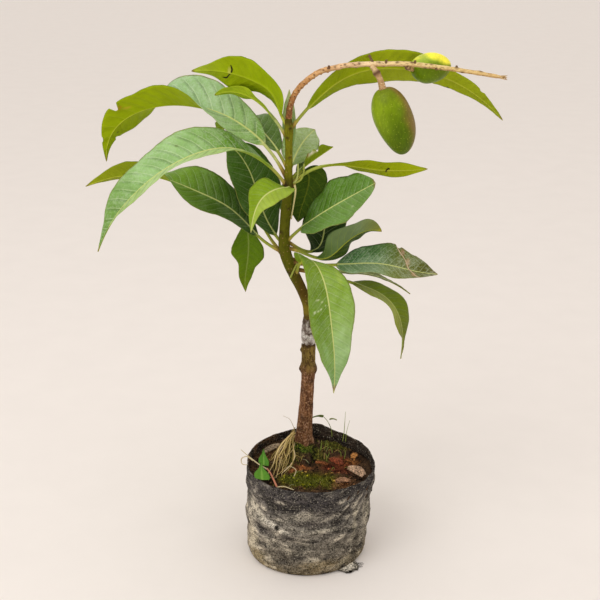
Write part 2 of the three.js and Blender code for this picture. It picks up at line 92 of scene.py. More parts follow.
# The mangoes: shoulder, length, radius, heading and climb, then their twig and its radii.
FRUITS = {
    "mango_front": {
        "shoulder": (69.6, 7, 476), "length": 66, "radius": 18, "heading": 0, "climb": -73,
        "twig": ((59.6, STALK_Y, 495), (63.4, 9, 489), (67.6, 8, 481), (70.4, 7, 472)),
        "twig_radius": (2.3, 3.6), "bend": 0.1,
    },
    "mango_back": {
        "shoulder": (97, 23.5, 489.4), "length": 41, "radius": 14, "heading": 24, "climb": 5,
        "twig": ((91, STALK_Y, 495.6), (92.5, 14, 493), (95, 20, 490.5), (100, 26, 489.5)),
        "twig_radius": (1.9, 2.5), "bend": -0.1,
    },
}

# ---------------------------------------------------------------- sums


def lerp(a, b, share):
    return a + (b - a) * share


def clamp(value, low=0.0, high=1.0):
    return min(high, max(low, value))


def ease(value, low, high):
    """0 below low and 1 above high, with a soft turn at both."""
    t = clamp((value - low) / (high - low))
    return t * t * (3 - 2 * t)


def bell(value, centre, reach):
    """1 at the centre, falling to about a third at the reach."""
    return exp(-(((value - centre) / reach) ** 2))


def shares(count):
    """Places from 0 to 1 in even steps."""
    return [i / count for i in range(count + 1)]


def turns(count):
    """Angles evenly round a circle."""
    return [2 * pi * j / count for j in range(count)]


def turned(angle, mark, radius):
    """How far round a circle an angle lies past a mark, which is in degrees."""
    return ((angle - radians(mark) + pi) % (2 * pi) - pi) * radius


def polar(angle, radius, z):
    return Vector((radius * cos(angle), radius * sin(angle), z))


def way(heading, climb):
    """The unit vector of a heading and a climb in radians."""
    return Vector((cos(climb) * cos(heading), cos(climb) * sin(heading), sin(climb)))


def grain(x, y, z, size, seed=0):
    """Smooth noise from -1 to 1, with lumps about as wide as size."""
    return noise.noise(Vector((x / size + 7.3 * seed, y / size - 3.1 * seed, z / size + seed)))


def spline(values, t):
    """A smooth curve through evenly spaced values, at a place from 0 to 1."""
    last = len(values) - 1
    i = min(int(t * last), last - 1)
    w = t * last - i
    p1, p2 = values[i], values[i + 1]
    v0 = (p2 - values[max(i - 1, 0)]) / 2
    v1 = (values[min(i + 2, last)] - p1) / 2
    return ((2 * (p1 - p2) + v0 + v1) * w + 3 * (p2 - p1) - 2 * v0 - v1) * w * w + v0 * w + p1


def between(stops, t):
    """A colour at a place from 0 to 1 along evenly spaced colours."""
    i = min(int(t * (len(stops) - 1)), len(stops) - 2)
    w = t * (len(stops) - 1) - i
    return tuple(lerp(a, b, w) for a, b in zip(stops[i], stops[i + 1]))


def tone(red, green, blue):
    """A screen colour, each part from 0 to 255, as the light that it stands for."""
    parts = [clamp(part, 0, 255) / 255 for part in (red, green, blue)]
    return tuple(p / 12.92 if p < 0.04 else ((p + 0.055) / 1.055) ** 2.4 for p in parts) + (1.0,)


def painted(colour, patches, x, y):
    """A screen colour under soft patches: (x, y, reach x, reach y, slope, colour, cover)."""
    for px, py, rx, ry, slope, over, cover in patches:
        dx, dy = x - px, y - py
        gap = (dx / rx) ** 2 + ((dy - slope * dx) / ry) ** 2
        if gap < 5:
            colour = between((colour, over), cover * exp(-gap * gap))
    return colour


class Course:
    """A smooth curve through points of space."""

    def __init__(self, points):
        self.points = [Vector(point) for point in points]

    def at(self, t):
        points = self.points
        last = len(points) - 1
        i = min(int(t * last), last - 1)
        w = t * last - i
        p1, p2 = points[i], points[i + 1]
        p0 = points[i - 1] if i else 2 * points[0] - points[1]
        p3 = points[i + 2] if i + 2 <= last else 2 * points[last] - points[last - 1]
        d0, d1, d2 = (max(gap.length, 1e-6) ** 0.5 for gap in (p1 - p0, p2 - p1, p3 - p2))
        t1 = ((p1 - p0) / d0 - (p2 - p0) / (d0 + d1) + (p2 - p1) / d1) * d1
        t2 = ((p2 - p1) / d1 - (p3 - p1) / (d1 + d2) + (p3 - p2) / d2) * d1
        return (p1 + t1 * w + (3 * (p2 - p1) - 2 * t1 - t2) * w**2
                + (2 * (p1 - p2) + t1 + t2) * w**3)

    def along(self, t):
        return (self.at(min(t + 1e-4, 1)) - self.at(max(t - 1e-4, 0))).normalized()


def ring(centre, along, sides, radius_at):
    """A ring of points square to a direction, with a radius for each angle."""
    up = (Vector((0, 1, 0)) - along * along.y).normalized()
    across = up.cross(along)
    return [centre + (across * cos(a) + up * sin(a)) * radius_at(a) for a in turns(sides)]


def sheet(rows, thickness):
    """The rings of a thin sheet whose upper side runs through rows of points."""
    return [[point - UP * thickness for point in row] + row[::-1] for row in rows]


class Skin:
    """Points, faces and painted values, in millimetres, that become one piece."""

    def __init__(self):
        self.points, self.faces, self.slots, self.paint = [], [], [], {}

    def add(self, points, faces, slots=0, **paint):
        """Adds faces over points. Paint is one value for them all or a list with one for each."""
        first = len(self.points)
        self.points.extend(points)
        self.faces.extend(tuple(first + i for i in face) for face in faces)
        self.slots.extend(slots if isinstance(slots, list) else [slots] * len(faces))
        for name, values in paint.items():
            several = values if isinstance(values, list) else [values] * len(points)
            self.paint.setdefault(name, []).extend(several)

    def loft(self, rings, slots=0, **paint):
        """A closed skin over rings, which turn anticlockwise about the way they advance."""
        around = len(rings[0])
        last = (len(rings) - 1) * around
        faces = []
        for i in range(0, last, around):
            for j in range(around):
                a, b = i + j, i + (j + 1) % around
                faces.append((a, b, b + around, a + around))
        faces.append(tuple(range(around - 1, -1, -1)))
        faces.append(tuple(range(last, last + around)))
        if isinstance(slots, list):
            slots = slots + [slots[0], slots[-1]]
        self.add([point for row in rings for point in row], faces, slots, **paint)

    def strand(self, points, radii, sides=6, steps=12, **paint):
        """A tapering thread along points."""
        course = Course(points)
        rings = []
        for t in shares(steps):
            radius = spline(radii, t)
            rings.append(ring(course.at(t), course.along(t), sides, lambda _: radius))
        self.loft(rings, **paint)

    def made(self, name, finishes):
        """The bare object that the skin becomes."""
        mesh = bpy.data.meshes.new(name)
        mesh.from_pydata([[c * MM for c in point] for point in self.points], [], self.faces)
        for finish in finishes:
            mesh.materials.append(finish)
        thing = bpy.data.objects.new(name, mesh)
        bpy.context.scene.collection.objects.link(thing)
        return thing

    def piece(self, name, finishes, slot, replaces=()):
        """A painted piece of the plant that stands in for the solids it replaces."""
        piece = self.made(name, finishes)
        mesh = piece.data
        mesh.polygons.foreach_set("material_index", self.slots)
        mesh.shade_smooth()
        for key, values in self.paint.items():
            colour = len(values[0]) == 4
            kind = "FLOAT_COLOR" if colour else "FLOAT_VECTOR"
            layer = mesh.attributes.new(key, kind, "POINT")
            flat = [part for value in values for part in value]
            layer.data.foreach_set("color" if colour else "vector", flat)
        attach(piece, "root")
        if replaces:
            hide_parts(*replaces)


# ---------------------------------------------------------------- finishes

EVEN = (1, 1, 1)


class Value:
    """A socket of a finish that can stand in a sum."""

    def __init__(self, finish, socket):
        self.finish = finish
        self.socket = socket

    def __add__(self, other):
        return self.finish.sum("ADD", self, other)

    __radd__ = __add__

    def __sub__(self, other):
        return self.finish.sum("SUBTRACT", self, other)

    def __rsub__(self, other):
        return self.finish.sum("SUBTRACT", other, self)

    def __mul__(self, other):
        return self.finish.sum("MULTIPLY", self, other)

    __rmul__ = __mul__

    def __truediv__(self, other):
        return self.finish.sum("DIVIDE", self, other)

    def __rtruediv__(self, other):
        return self.finish.sum("DIVIDE", other, self)


class Finish:
    """A material and the nodes that make it. Its colour is built up coat by coat."""

    def __init__(self, name, roughness, specular):
        self.material = bpy.data.materials.new(name)
        self.material.use_nodes = True
        self.tree = self.material.node_tree
        self.shader = self.tree.nodes["Principled BSDF"]
        self.shader.inputs["Roughness"].default_value = roughness
        self.shader.inputs["Specular IOR Level"].default_value = specular
        self.colour = None

    def node(self, kind, settings, inputs, output=0):
        """A node with its settings and what its sockets take, as the value of one output."""
        node = self.tree.nodes.new(kind)
        for key, value in settings.items():
            setattr(node, key, value)
        for key, value in inputs.items():
            if isinstance(value, Value):
                self.tree.links.new(value.socket, node.inputs[key])
            else:
                node.inputs[key].default_value = value
        return Value(self, node.outputs[output])

    def sum(self, operation, first, second=0.5):
        return self.node("ShaderNodeMath", {"operation": operation}, {0: first, 1: second})

    def space(self, size, stretch=EVEN):
        """Places on the object, in steps of size millimetres."""
        place = self.node("ShaderNodeTexCoord", {}, {}, "Object")
        scale = tuple(1000 / size / part for part in stretch)
        return self.node("ShaderNodeVectorMath", {"operation": "MULTIPLY"}, {0: place, 1: scale})

    def split(self, vector):
        """The three parts of a vector."""
        parts = self.node("ShaderNodeSeparateXYZ", {}, {0: vector}).socket.node.outputs
        return [Value(self, part) for part in parts]

    def noise(self, size, detail=3, stretch=EVEN, roughness=0.55):
        """Noise from 0 to 1 with lumps about size millimetres wide."""
        inputs = {"Vector": self.space(size, stretch), "Scale": 1.0}
        inputs.update({"Detail": detail, "Roughness": roughness})
        return self.node("ShaderNodeTexNoise", {}, inputs)

    def cells(self, size, stretch=EVEN, feature="F1"):
        """The distance to the nearest of scattered points, or between cells."""
        inputs = {"Vector": self.space(size, stretch), "Scale": 1.0}
        return self.node("ShaderNodeTexVoronoi", {"feature": feature}, inputs, "Distance")

    def ease(self, value, low, high):
        """0 below low and 1 above high, with a soft turn."""
        inputs = {"Value": value, "From Min": low, "From Max": high}
        return self.node("ShaderNodeMapRange", {"interpolation_type": "SMOOTHSTEP"}, inputs)

    def ramp(self, value, stops):
        """A colour along a row of stops, each a place from 0 to 1 and a screen colour."""
        found = self.node("ShaderNodeValToRGB", {}, {0: value})
        elements = found.socket.node.color_ramp.elements
        for place, colour in stops[1:-1]:
            elements.new(place).color = tone(*colour)
        for element, (place, colour) in ((elements[0], stops[0]), (elements[-1], stops[-1])):
            element.position = place
            element.color = tone(*colour)
        return found

    def mix(self, share, first, second, blend="MIX"):
        """A colour between two, or one over the other. Three numbers are a screen colour."""
        inputs = {0: share, 6: first, 7: second}
        for key in (6, 7):
            if isinstance(inputs[key], tuple) and len(inputs[key]) == 3:
                inputs[key] = tone(*inputs[key])
        settings = {"data_type": "RGBA", "blend_type": blend, "clamp_factor": True}
        return self.node("ShaderNodeMix", settings, inputs, 2)

    def coat(self, share, colour):
        """Lays a colour over what the finish has so far."""
        self.colour = self.mix(share, self.colour, colour)

    def shade(self, colour, factor):
        """A colour made darker or lighter by a number that varies."""
        pale = self.node("ShaderNodeCombineColor", {}, {0: factor, 1: factor, 2: factor})
        return self.mix(1.0, colour, pale, "MULTIPLY")

    def paint(self, key, output="Color"):
        return self.node("ShaderNodeAttribute", {"attribute_name": key}, {}, output)

    def wear(self, key, value):
        self.tree.links.new(value.socket, self.shader.inputs[key])

    def done(self, height, strength=1.0):
        """The material, with its colour and with relief from a height in millimetres."""
        self.wear("Base Color", self.colour)
        inputs = {"Height": height, "Distance": MM, "Strength": strength}
        self.wear("Normal", self.node("ShaderNodeBump", {}, inputs))
        return self.material


def bag_finish(look):
    """Felted black cloth, rubbed and dusty."""
    cloth = Finish("bag_cloth", 0.95, 0.1)
    fibre = cloth.noise(1.3, 2, (1.2, 1.2, 1), 0.7)
    salt = cloth.noise(1.5, 1)
    fluff = cloth.noise(3.2, 4, (2.4, 2.4, 1), 0.65)
    hair = cloth.noise(1.4, 2, (3.5, 3.5, 0.6), 0.6)
    speckle = cloth.ease(fibre, 0.38, 0.64) * 1.2 + cloth.ease(fluff, 0.34, 0.66) * 0.85 + 0.08
    cloth.colour = cloth.shade(cloth.paint("tint"), speckle)
    cloth.coat(cloth.ease(hair, 0.62, 0.72) * look.fluff, (176, 166, 148))
    cloth.coat(cloth.ease(salt, 0.6, 0.72) * look.fluff, (196, 188, 168))
    return cloth.done(fibre * 0.5 + fluff * 1.1 + hair * 0.3)


def soil_finish(name, roughness=0.95):
    """Damp crumbs of soil and peat in the colours painted on them."""
    earth = Finish(name, roughness, 0.1)
    crumb = earth.noise(1.5, 4, EVEN, 0.7)
    lump = earth.noise(6)
    level = earth.ease(crumb, 0.34, 0.68) * 1.5 + earth.ease(lump, 0.3, 0.7) * 0.6 + 0.02
    earth.colour = earth.shade(earth.paint("tint"), level)
    return earth.done(crumb * 1.2 + lump * 0.6)


def fleck_finish(name, roughness):
    """Small leaves, straw and moss in the colours painted on them."""
    scrap = Finish(name, roughness, 0.2)
    fleck = scrap.noise(1.2)
    scrap.colour = scrap.shade(scrap.paint("tint"), fleck * 0.7 + 0.65)
    return scrap.done(fleck * 0.3)


def bark_finish(look):
    """Bark that turns from cracked reddish brown on the rootstock to olive on the scion."""
    bark = Finish("bark", 0.8, 0.15)
    streak = bark.noise(2.4, 4, (1, 1, 3), 0.65)
    blotch = bark.noise(7, 3, (1, 1, 1.8))
    fine = bark.noise(0.8, 3, (1, 1, 2))
    grit = bark.noise(1.7, 2, (1, 1, 1.3), 0.7)
    spot = bark.cells(4.2, (1, 1, 0.8))
    x, _, z = bark.split(bark.space(1))
    height = z + (blotch - 0.5) * 14
    olive = bark.mix(bark.ease(streak, 0.36, 0.62), (74, 54, 22), (128, 106, 50))
    side = bark.ease(x * -1 + z * 0.02 + (streak - 0.5) * 14, 8, 24)
    green = bark.mix(side, (84, 64, 10), (92, 93, 8))
    green = bark.mix(bark.ease(streak, 0.5, 0.72) * 0.6, green, (56, 46, 10))
    neck = bark.ease(height, 238, 246) * (1 - bark.ease(height, 254, 272))
    green = bark.mix(neck * 0.8, green, (128, 114, 30))
    young = bark.mix(bark.ease(streak, 0.4, 0.7) * 0.7, (122, 120, 16), (84, 80, 8))
    bark.colour = bark.mix(bark.ease(streak, 0.34, 0.64), (84, 52, 32), (132, 92, 60))
    bark.coat(bark.ease(grit, 0.54, 0.64) * 0.8, (176, 138, 108))
    bark.coat((1 - bark.ease(grit, 0.34, 0.44)) * 0.6, (48, 26, 14))
    bark.coat(bark.ease(height, 182, 196), olive)
    bark.coat(bark.ease(height, 238, 256), green)
    bark.coat(bark.ease(z, 387, 394), young)
    bark.coat((1 - bark.ease(spot, 0.13, 0.24)) * look.lenticels, (166, 132, 84))
    bark.coat(bark.paint("scar", "Fac"), (50, 30, 16))
    bark.colour = bark.shade(bark.colour, blotch * 0.4 + fine * 0.6 + 0.5)
    pores = bark.ease(spot, 0.1, 0.26) * 0.3
    return bark.done(streak * look.bark_relief + fine * 0.45 - pores)


def wax_finish():
    """Dried grafting wax, whitish with grey and brown stains."""
    wax = Finish("graft_wax", 0.7, 0.25)
    stain = wax.noise(5, 4, (1, 1, 1.3), 0.6)
    crack = wax.cells(3.4, (1, 1, 1.4), "DISTANCE_TO_EDGE")
    height = wax.split(wax.space(1))[2] + (wax.noise(6) - 0.5) * 16
    wax.colour = wax.ramp(
        stain + 0.06 - wax.ease(height, 226, 236) * 0.1,
        ((0.36, (66, 52, 42)), (0.46, (128, 114, 104)), (0.56, (184, 176, 168)),
         (0.7, (220, 214, 208))),
    )
    wax.coat((1 - wax.ease(crack, 0.02, 0.1)) * 0.5, (86, 72, 62))
    wax.coat(wax.ease(height, 239, 246) * 0.8, (74, 54, 34))
    wax.colour = wax.shade(wax.colour, wax.noise(0.9) * 0.5 + 0.72)
    return wax.done(stain * 1.6 + wax.ease(crack, 0, 0.12) * 0.35)


def stalk_finish():
    """A fruiting stalk, orange brown and speckled at its foot and cream towards its end, with
    painted shade below.
    """
    stalk = Finish("stalk_skin", 0.6, 0.2)
    x, _, z = stalk.split(stalk.space(1))
    scar, underside_shade_and_twig_brown, _ = stalk.split(stalk.paint("scar", "Vector"))
    stalk.colour = stalk.ramp(
        stalk.ease(x + (stalk.noise(9) - 0.5) * 22, -30, 190),
        ((0.0, (168, 112, 62)), (0.04, (206, 154, 98)), (0.12, (230, 184, 130)),
         (0.3, (250, 220, 176)), (0.5, (240, 212, 152)), (0.8, (232, 206, 138)),
         (1.0, (222, 186, 124))),
    )
    streak = stalk.ease(stalk.noise(3.2, 4, (2.2, 1, 1), 0.6), 0.44, 0.66)
    speck = 1 - stalk.ease(stalk.cells(2.3, (1.6, 1, 1)), 0.16, 0.34)
    fleck = stalk.ease(stalk.noise(1.5, 3, (2, 1, 1)), 0.56, 0.68)
    foot = 1 - stalk.ease(z + (stalk.noise(5) - 0.5) * 12, 452, 474)
    grime = stalk.ease(stalk.noise(2.1, 3, (1, 1, 1.4), 0.65), 0.4, 0.56)
    stalk.coat(streak * 0.4, (150, 98, 50))
    # painted shade: the stalk is darker orange brown on its underside; on the mango twigs this part
    # browns their lower length instead
    stalk.coat(underside_shade_and_twig_brown * 0.6, (150, 96, 44))
    stalk.coat(speck * 0.55, (240, 214, 168))
    stalk.coat(fleck * 0.6, (112, 62, 28))
    stalk.coat(foot * grime * 0.75, (104, 58, 30))
    stalk.coat(scar, (72, 32, 12))
    return stalk.done(speck * 0.3 - fleck * 0.25 + stalk.noise(1.4, 3, (3, 1, 1)) * 0.5)


def fruit_finish(look):
    """Green mango skin with pale dots, and the blush painted on it."""
    skin = Finish("mango_skin", 0.34, 0.12)
    cloud = skin.noise(7, 4, (1, 1, 1.6))
    streak = skin.noise(1.9, 3, (1, 1, 4))
    dot = 1 - skin.ease(skin.cells(2.1), 0.1, 0.24)
    skin.colour = skin.shade(skin.paint("tint"), cloud * 0.5 + streak * 0.7 + 0.42)
    skin.coat(dot * look.dots, (186, 196, 70))
    skin.wear("Roughness", skin.noise(3) * 0.16 + 0.3)
    return skin.done(dot * 0.06 + cloud * 0.16 + streak * 0.1)


def leaf_veins(leaf):
    """The masks of a leaf's midrib, side veins and fine net, the swell between its veins, and
    painted shade.
    """
    along, side, edge = leaf.split(leaf.paint("blade", "Vector"))
    share, bold, spacing = leaf.split(leaf.paint("habit", "Vector"))
    film, clear, _ = leaf.split(leaf.paint("film", "Vector"))
    out = leaf.sum("ABSOLUTE", side)
    left = leaf.sum("GREATER_THAN", side, 0.0)
    wander = (leaf.noise(15) - 0.5) * 0.35
    step = (along - (out * 0.55 + out * out * 0.011)) / spacing + left * 0.5 + wander
    fraction = leaf.sum("FRACT", step)
    middle = leaf.sum("ABSOLUTE", fraction - 0.5)
    gap = (0.5 - middle) * spacing
    lateral = (1 - leaf.ease(gap / (1 - edge * 0.7), 0.14, 0.68)) * (1 - leaf.ease(edge, 0.8, 0.97))
    past = fraction * spacing
    # painted shade: a dark band just past each side vein, patchy and fading towards the margin
    shade = leaf.ease(past, 0.4, 1.3) * (1 - leaf.ease(past, 1.6, 5))
    patch = leaf.ease(leaf.noise(17), 0.36, 0.6) * 0.7 + 0.3
    painted_vein_shade = shade * patch * (1 - leaf.ease(edge, 0.7, 0.95))
    return SimpleNamespace(
        midrib=(1 - leaf.ease(out / (1.15 - share * 0.8), 0.55, 1.15)) * clear,
        lateral=lateral * bold,
        painted_vein_shade=painted_vein_shade * bold,
        net=1 - leaf.ease(leaf.cells(1.7, EVEN, "DISTANCE_TO_EDGE"), 0.0, 0.12),
        swell=0.5 - middle,
        edge=edge,
        film=film,
    )


def leaf_upper_finish(look):
    """The glossy upper side of a mango leaf, with painted shade and light between its side veins.
    """
    leaf = Finish("leaf_upper", look.gloss, look.shine)
    vein = leaf_veins(leaf)
    cloud = leaf.noise(13, 4)
    fine = leaf.noise(2.2)
    speckle = leaf.noise(1.7, 4, EVEN, 0.65) * 0.6 + cloud * 0.4
    # pale bloom of wax with a painted whitish sheen on it, in specks and clouds over the upper side
    bloom_and_sheen = leaf.ease(speckle, 0.42, 0.62) * vein.film
    # painted light and shade: each panel between side veins is paler in its middle and darker just
    # past its vein
    level = cloud * 0.42 + fine * 0.22 + 0.72 + vein.swell * 0.22 - vein.painted_vein_shade * 0.46
    leaf.colour = leaf.shade(leaf.paint("tint"), level)
    leaf.coat(bloom_and_sheen * look.bloom_and_sheen, (206, 218, 196))
    leaf.coat(vein.lateral * look.vein_tone, leaf.mix(0.5, leaf.colour, (236, 246, 204)))
    leaf.coat(vein.net * 0.1, (170, 190, 100))
    leaf.coat(vein.midrib * 0.92, (206, 212, 132))
    leaf.coat(leaf.ease(vein.edge, 0.955, 0.99) * 0.6, (188, 186, 96))
    leaf.wear("Roughness", cloud * 0.22 + (look.gloss - 0.1))
    height = vein.swell * 0.4 + vein.lateral * 0.1 - vein.net * 0.05 + fine * 0.1
    return leaf.done(height + vein.midrib * 0.1, look.vein_relief)


def leaf_under_finish(look):
    """The dull, yellower underside, on which the veins stand out."""
    leaf = Finish("leaf_under", 0.6, 0.06)
    vein = leaf_veins(leaf)
    # painted shade: a faint dark band just past each side vein
    level = leaf.noise(11, 4) * 0.36 + 0.84 - vein.painted_vein_shade * 0.1
    leaf.colour = leaf.shade(leaf.paint("tint_under"), level)
    leaf.coat(vein.lateral * 0.55, (176, 190, 50))
    leaf.coat(vein.net * 0.1, (170, 180, 50))
    leaf.coat(vein.midrib * 0.7, (190, 194, 66))
    height = vein.lateral * 0.3 + vein.net * 0.08 - vein.swell * 0.2
    return leaf.done(height, look.vein_relief)


def petiole_finish(name):
    """A leaf stalk in the colours painted on it, with faint streaks."""
    stem = Finish(name, 0.5, 0.12)
    streak = stem.noise(1.6, 3, (1, 1, 2.5))
    stem.colour = stem.shade(stem.paint("tint"), streak * 0.5 + 0.75)
    return stem.done(streak * 0.3)


def floor_finish(colour):
    """A matt surface with the faintest unevenness."""
    plain = Finish("floor_paint", 0.8, 0.1)
    plain.wear("Base Color", plain.shade(tuple(colour) + (1,), plain.noise(60) * 0.05 + 0.975))
    return plain.material


# ---------------------------------------------------------------- grow bag

# soft marks on the cloth: angle, height, reach round and up in mm, slope, colour, cover. The broad
# pale ones at 206 and 200 degrees are dust that also paints light on the lit left side
BAG_MARKS = (
    (217, 59, 17, 4, -0.42, (186, 178, 160), 0.85), (238, 53, 15, 3, -0.3, (208, 200, 184), 0.95),
    (282, 53, 16, 2.2, 0.05, (176, 168, 150), 0.7), (266, 68, 20, 4.5, 0.1, (150, 143, 128), 0.6),
    (229, 30, 2.6, 9, 0, (176, 168, 150), 0.6), (219, 44, 15, 5, -0.2, (56, 52, 50), 0.8),
    (268, 34, 15, 4, 0.05, (62, 58, 52), 0.75), (271, 60, 13, 3.5, 0, (58, 53, 50), 0.75),
    (276, 84, 18, 6, 0.1, (48, 45, 46), 0.9), (225, 82, 9, 7, -0.3, (52, 49, 47), 0.8),
    (255, 88, 12, 5, 0, (58, 54, 54), 0.8), (243, 74, 7, 3, 0, (40, 37, 36), 0.7),
    (300, 78, 16, 2.4, 0.45, (120, 116, 110), 0.6), (337, 45, 5, 26, 0.6, (150, 142, 122), 0.5),
    (282, 12, 22, 6, 0, (112, 98, 72), 0.8), (214, 11, 14, 7, 0, (128, 114, 84), 0.8),
    (208, 26, 9, 9, 0, (150, 140, 116), 0.6), (246, 20, 22, 7, 0.1, (84, 77, 66), 0.6),
    (300, 30, 14, 4, 0.7, (66, 61, 54), 0.6), (322, 24, 5, 22, 0.8, (70, 64, 55), 0.7),
    # the pale marks at 206 and 200 degrees here are dust and painted light on the lit left side
    (344, 60, 5, 20, 0.8, (78, 73, 65), 0.6), (206, 46, 9, 30, 0, (190, 180, 160), 0.55),
    (200, 22, 10, 22, 0, (186, 174, 150), 0.6), (252, 44, 10, 3.5, -0.1, (48, 44, 42), 0.8),
    (234, 66, 8, 3, -0.3, (70, 66, 62), 0.7), (290, 66, 12, 2.4, 0.3, (158, 150, 134), 0.7),
    (262, 22, 9, 3.6, 0.1, (50, 46, 42), 0.8), (316, 50, 3, 22, 0.7, (150, 142, 122), 0.6),
    (330, 62, 2.6, 20, 0.8, (146, 138, 120), 0.6), (308, 12, 10, 4, 0.4, (140, 130, 106), 0.6),
    (240, 52, 2.8, 3, 0, (14, 12, 10), 1), (251, 75, 10, 3, 0.05, (38, 35, 34), 0.8),
    (285, 72, 9, 2.4, 0.2, (40, 37, 36), 0.7), (272, 41, 12, 2.2, 0, (44, 41, 38), 0.75),
    (296, 52, 10, 2, 0.5, (52, 48, 44), 0.6),
)
CLOTH_MARKS = [(radians(angle) * BAG["side"], *rest) for angle, *rest in BAG_MARKS]
CLOTH_COLOURS = (
    (104, 92, 68), (98, 91, 80), (112, 106, 96), (100, 95, 87), (60, 56, 54), (52, 49, 48),
)
CLOTH_INSIDE = ((44, 38, 34), (104, 76, 50))
CLOTH_DUST = (190, 180, 160)
CLOTH_DARK = (44, 41, 38)
FRAYED_DARK = (84, 78, 70)
FRAYED_PALE = (196, 188, 172)
FRAYED_THREADS = 16
# the frayed corner: the angles it spans, its start and reach, and how high its foot starts
CORNER = {"from": 303, "to": 327, "out": 55.5, "reach": 22, "height": 5.5, "lift": 0.7}


def rim_height(angle):
    """The height of the rim, which rises at the back and in a flap."""
    back = BAG["back_rise"] * max(0, sin(radians(angle)))
    return BAG["height"] + back + BAG["flap"] * bell(angle, BAG["flap_angle"], BAG["flap_width"])


def bag_radius(angle, share):
    """The bag's smooth outer radius: a rounded foot, soft bulges and a wider rim."""
    foot = min(1, share / BAG["foot_share"])
    rounded = lerp(BAG["foot"], BAG["side"], sqrt(foot * (2 - foot)))
    slant = radians(angle)
    turn = BAG["creases"] * pi * share + sin(slant) + BAG["crease_turn"]
    bulge = BAG["crease"] * sin(turn) * sin(pi * share)
    oval = BAG["oval"] * cos(2 * slant + BAG["oval_turn"]) * share
    return rounded + foot * ((BAG["rim"] - BAG["side"]) * share + bulge + oval)


def folds(angle, z):
    """How far the cloth stands out: in long slanting folds on the right, soft ones elsewhere."""
    arc = radians(angle) * BAG["side"]
    x, y, _ = polar(radians(angle), BAG["side"], z)
    right = ease(angle, 283, 304) * (1 - ease(angle, 352, 360)) + (1 - ease(angle, 0, 14)) * 0.7
    line = z - 0.95 * arc + 5 * grain(x, y, z, 30, 1)
    slanting = sin(line / 2.1) * (0.55 + 0.6 * grain(x, y, z, 24, 2))
    level = grain(x, y, z * 2.6, 26, 3) + 0.6 * grain(x, y, z * 1.8, 12, 4)
    level += 0.35 * max(-0.6, 1 - 4 * abs(grain(x, y, z * 3, 20, 11)))
    return right * 1.7 * slanting + (1.5 - 0.6 * right) * level + 0.35 * grain(x, y, z, 4, 5)


def bag_point(angle, share, inset, depth):
    """A point of the wrinkled cloth at an angle and a share of the rim's height."""
    ragged = 0.9 * grain(angle, 0, 0, 14, 6) + 0.5 * grain(angle, 0, 0, 3.5, 7)
    z = share * (rim_height(angle) + ragged * ease(share, 0.8, 1))
    hold = ease(share, 0, 0.08) * (1 - 0.45 * ease(share, 0.9, 1))
    radius = bag_radius(angle, share) - inset + depth * hold * (folds(angle, z) - 0.4)
    return polar(radians(angle), radius, z) + Vector((BAG["lean"] * share, 0, 0))


def bag_tint(angle, z, look):
    """The cloth's colour: dark at the rim, dusty in the middle and brownish at the foot."""
    x, y, _ = polar(radians(angle), 60, z)
    colour = between(CLOTH_COLOURS, clamp((z + 9 * grain(x, y, z, 30, 8)) / 100))
    dust = grain(x, y, 2.2 * z, 16, 9) + 0.7 * grain(x, y, 1.5 * z, 7, 10) + 0.3 * folds(angle, z)
    cover = look.dust * ease(dust, 0.1, 0.9) * (1 - 0.7 * ease(z, 78, 92))
    colour = between((colour, CLOTH_DUST), cover)
    colour = between((colour, CLOTH_DARK), 0.85 * ease(-dust, 0.15, 0.9))
    # painted light: the cloth is made up to a fifth paler round 212 degrees, on the front-left side
    # where the key light falls
    painted_light = 1 + 0.22 * bell(angle, 212, 26)
    colour = tuple(part * painted_light for part in colour)
    return painted(colour, CLOTH_MARKS, radians(angle) * BAG["side"], z)


def build_bag(look):
    """The grow bag: one closed shell of cloth, open at the top down to under the soil."""
    sides, rings, inner_rings = 260, 110, 26
    thick, wrinkle = look.thickness / MM, look.wrinkle / MM
    lip_rise, inside_depth = 0.35, 0.3
    places = [(share, 0) for share in shares(rings)] + [(1, 0.3 * thick), (1, 0.7 * thick)]
    places += [(1 - inside_depth * t, thick) for t in shares(inner_rings)]
    rows, tints = [], []
    for share, inset in places:
        row = []
        for j in range(sides):
            angle = 360 * j / sides
            point = bag_point(angle, share, inset, wrinkle)
            if 0 < inset < thick:
                point += UP * lip_rise
            row.append(point)
            colour = bag_tint(angle, point.z, look)
            if inset > thick / 2:
                soiled = (0.5 + grain(*point, 12, 12)) * (0.2 + 0.8 * ease(-point.x, 0, 40))
                colour = between(CLOTH_INSIDE, clamp(soiled))
            tints.append(tone(*colour))
        rows.append(row)
    skin = Skin()
    skin.loft(rows, tint=tints)
    skin.piece("bag_cloth", [bag_finish(look)], "bag", ["grow_bag"])


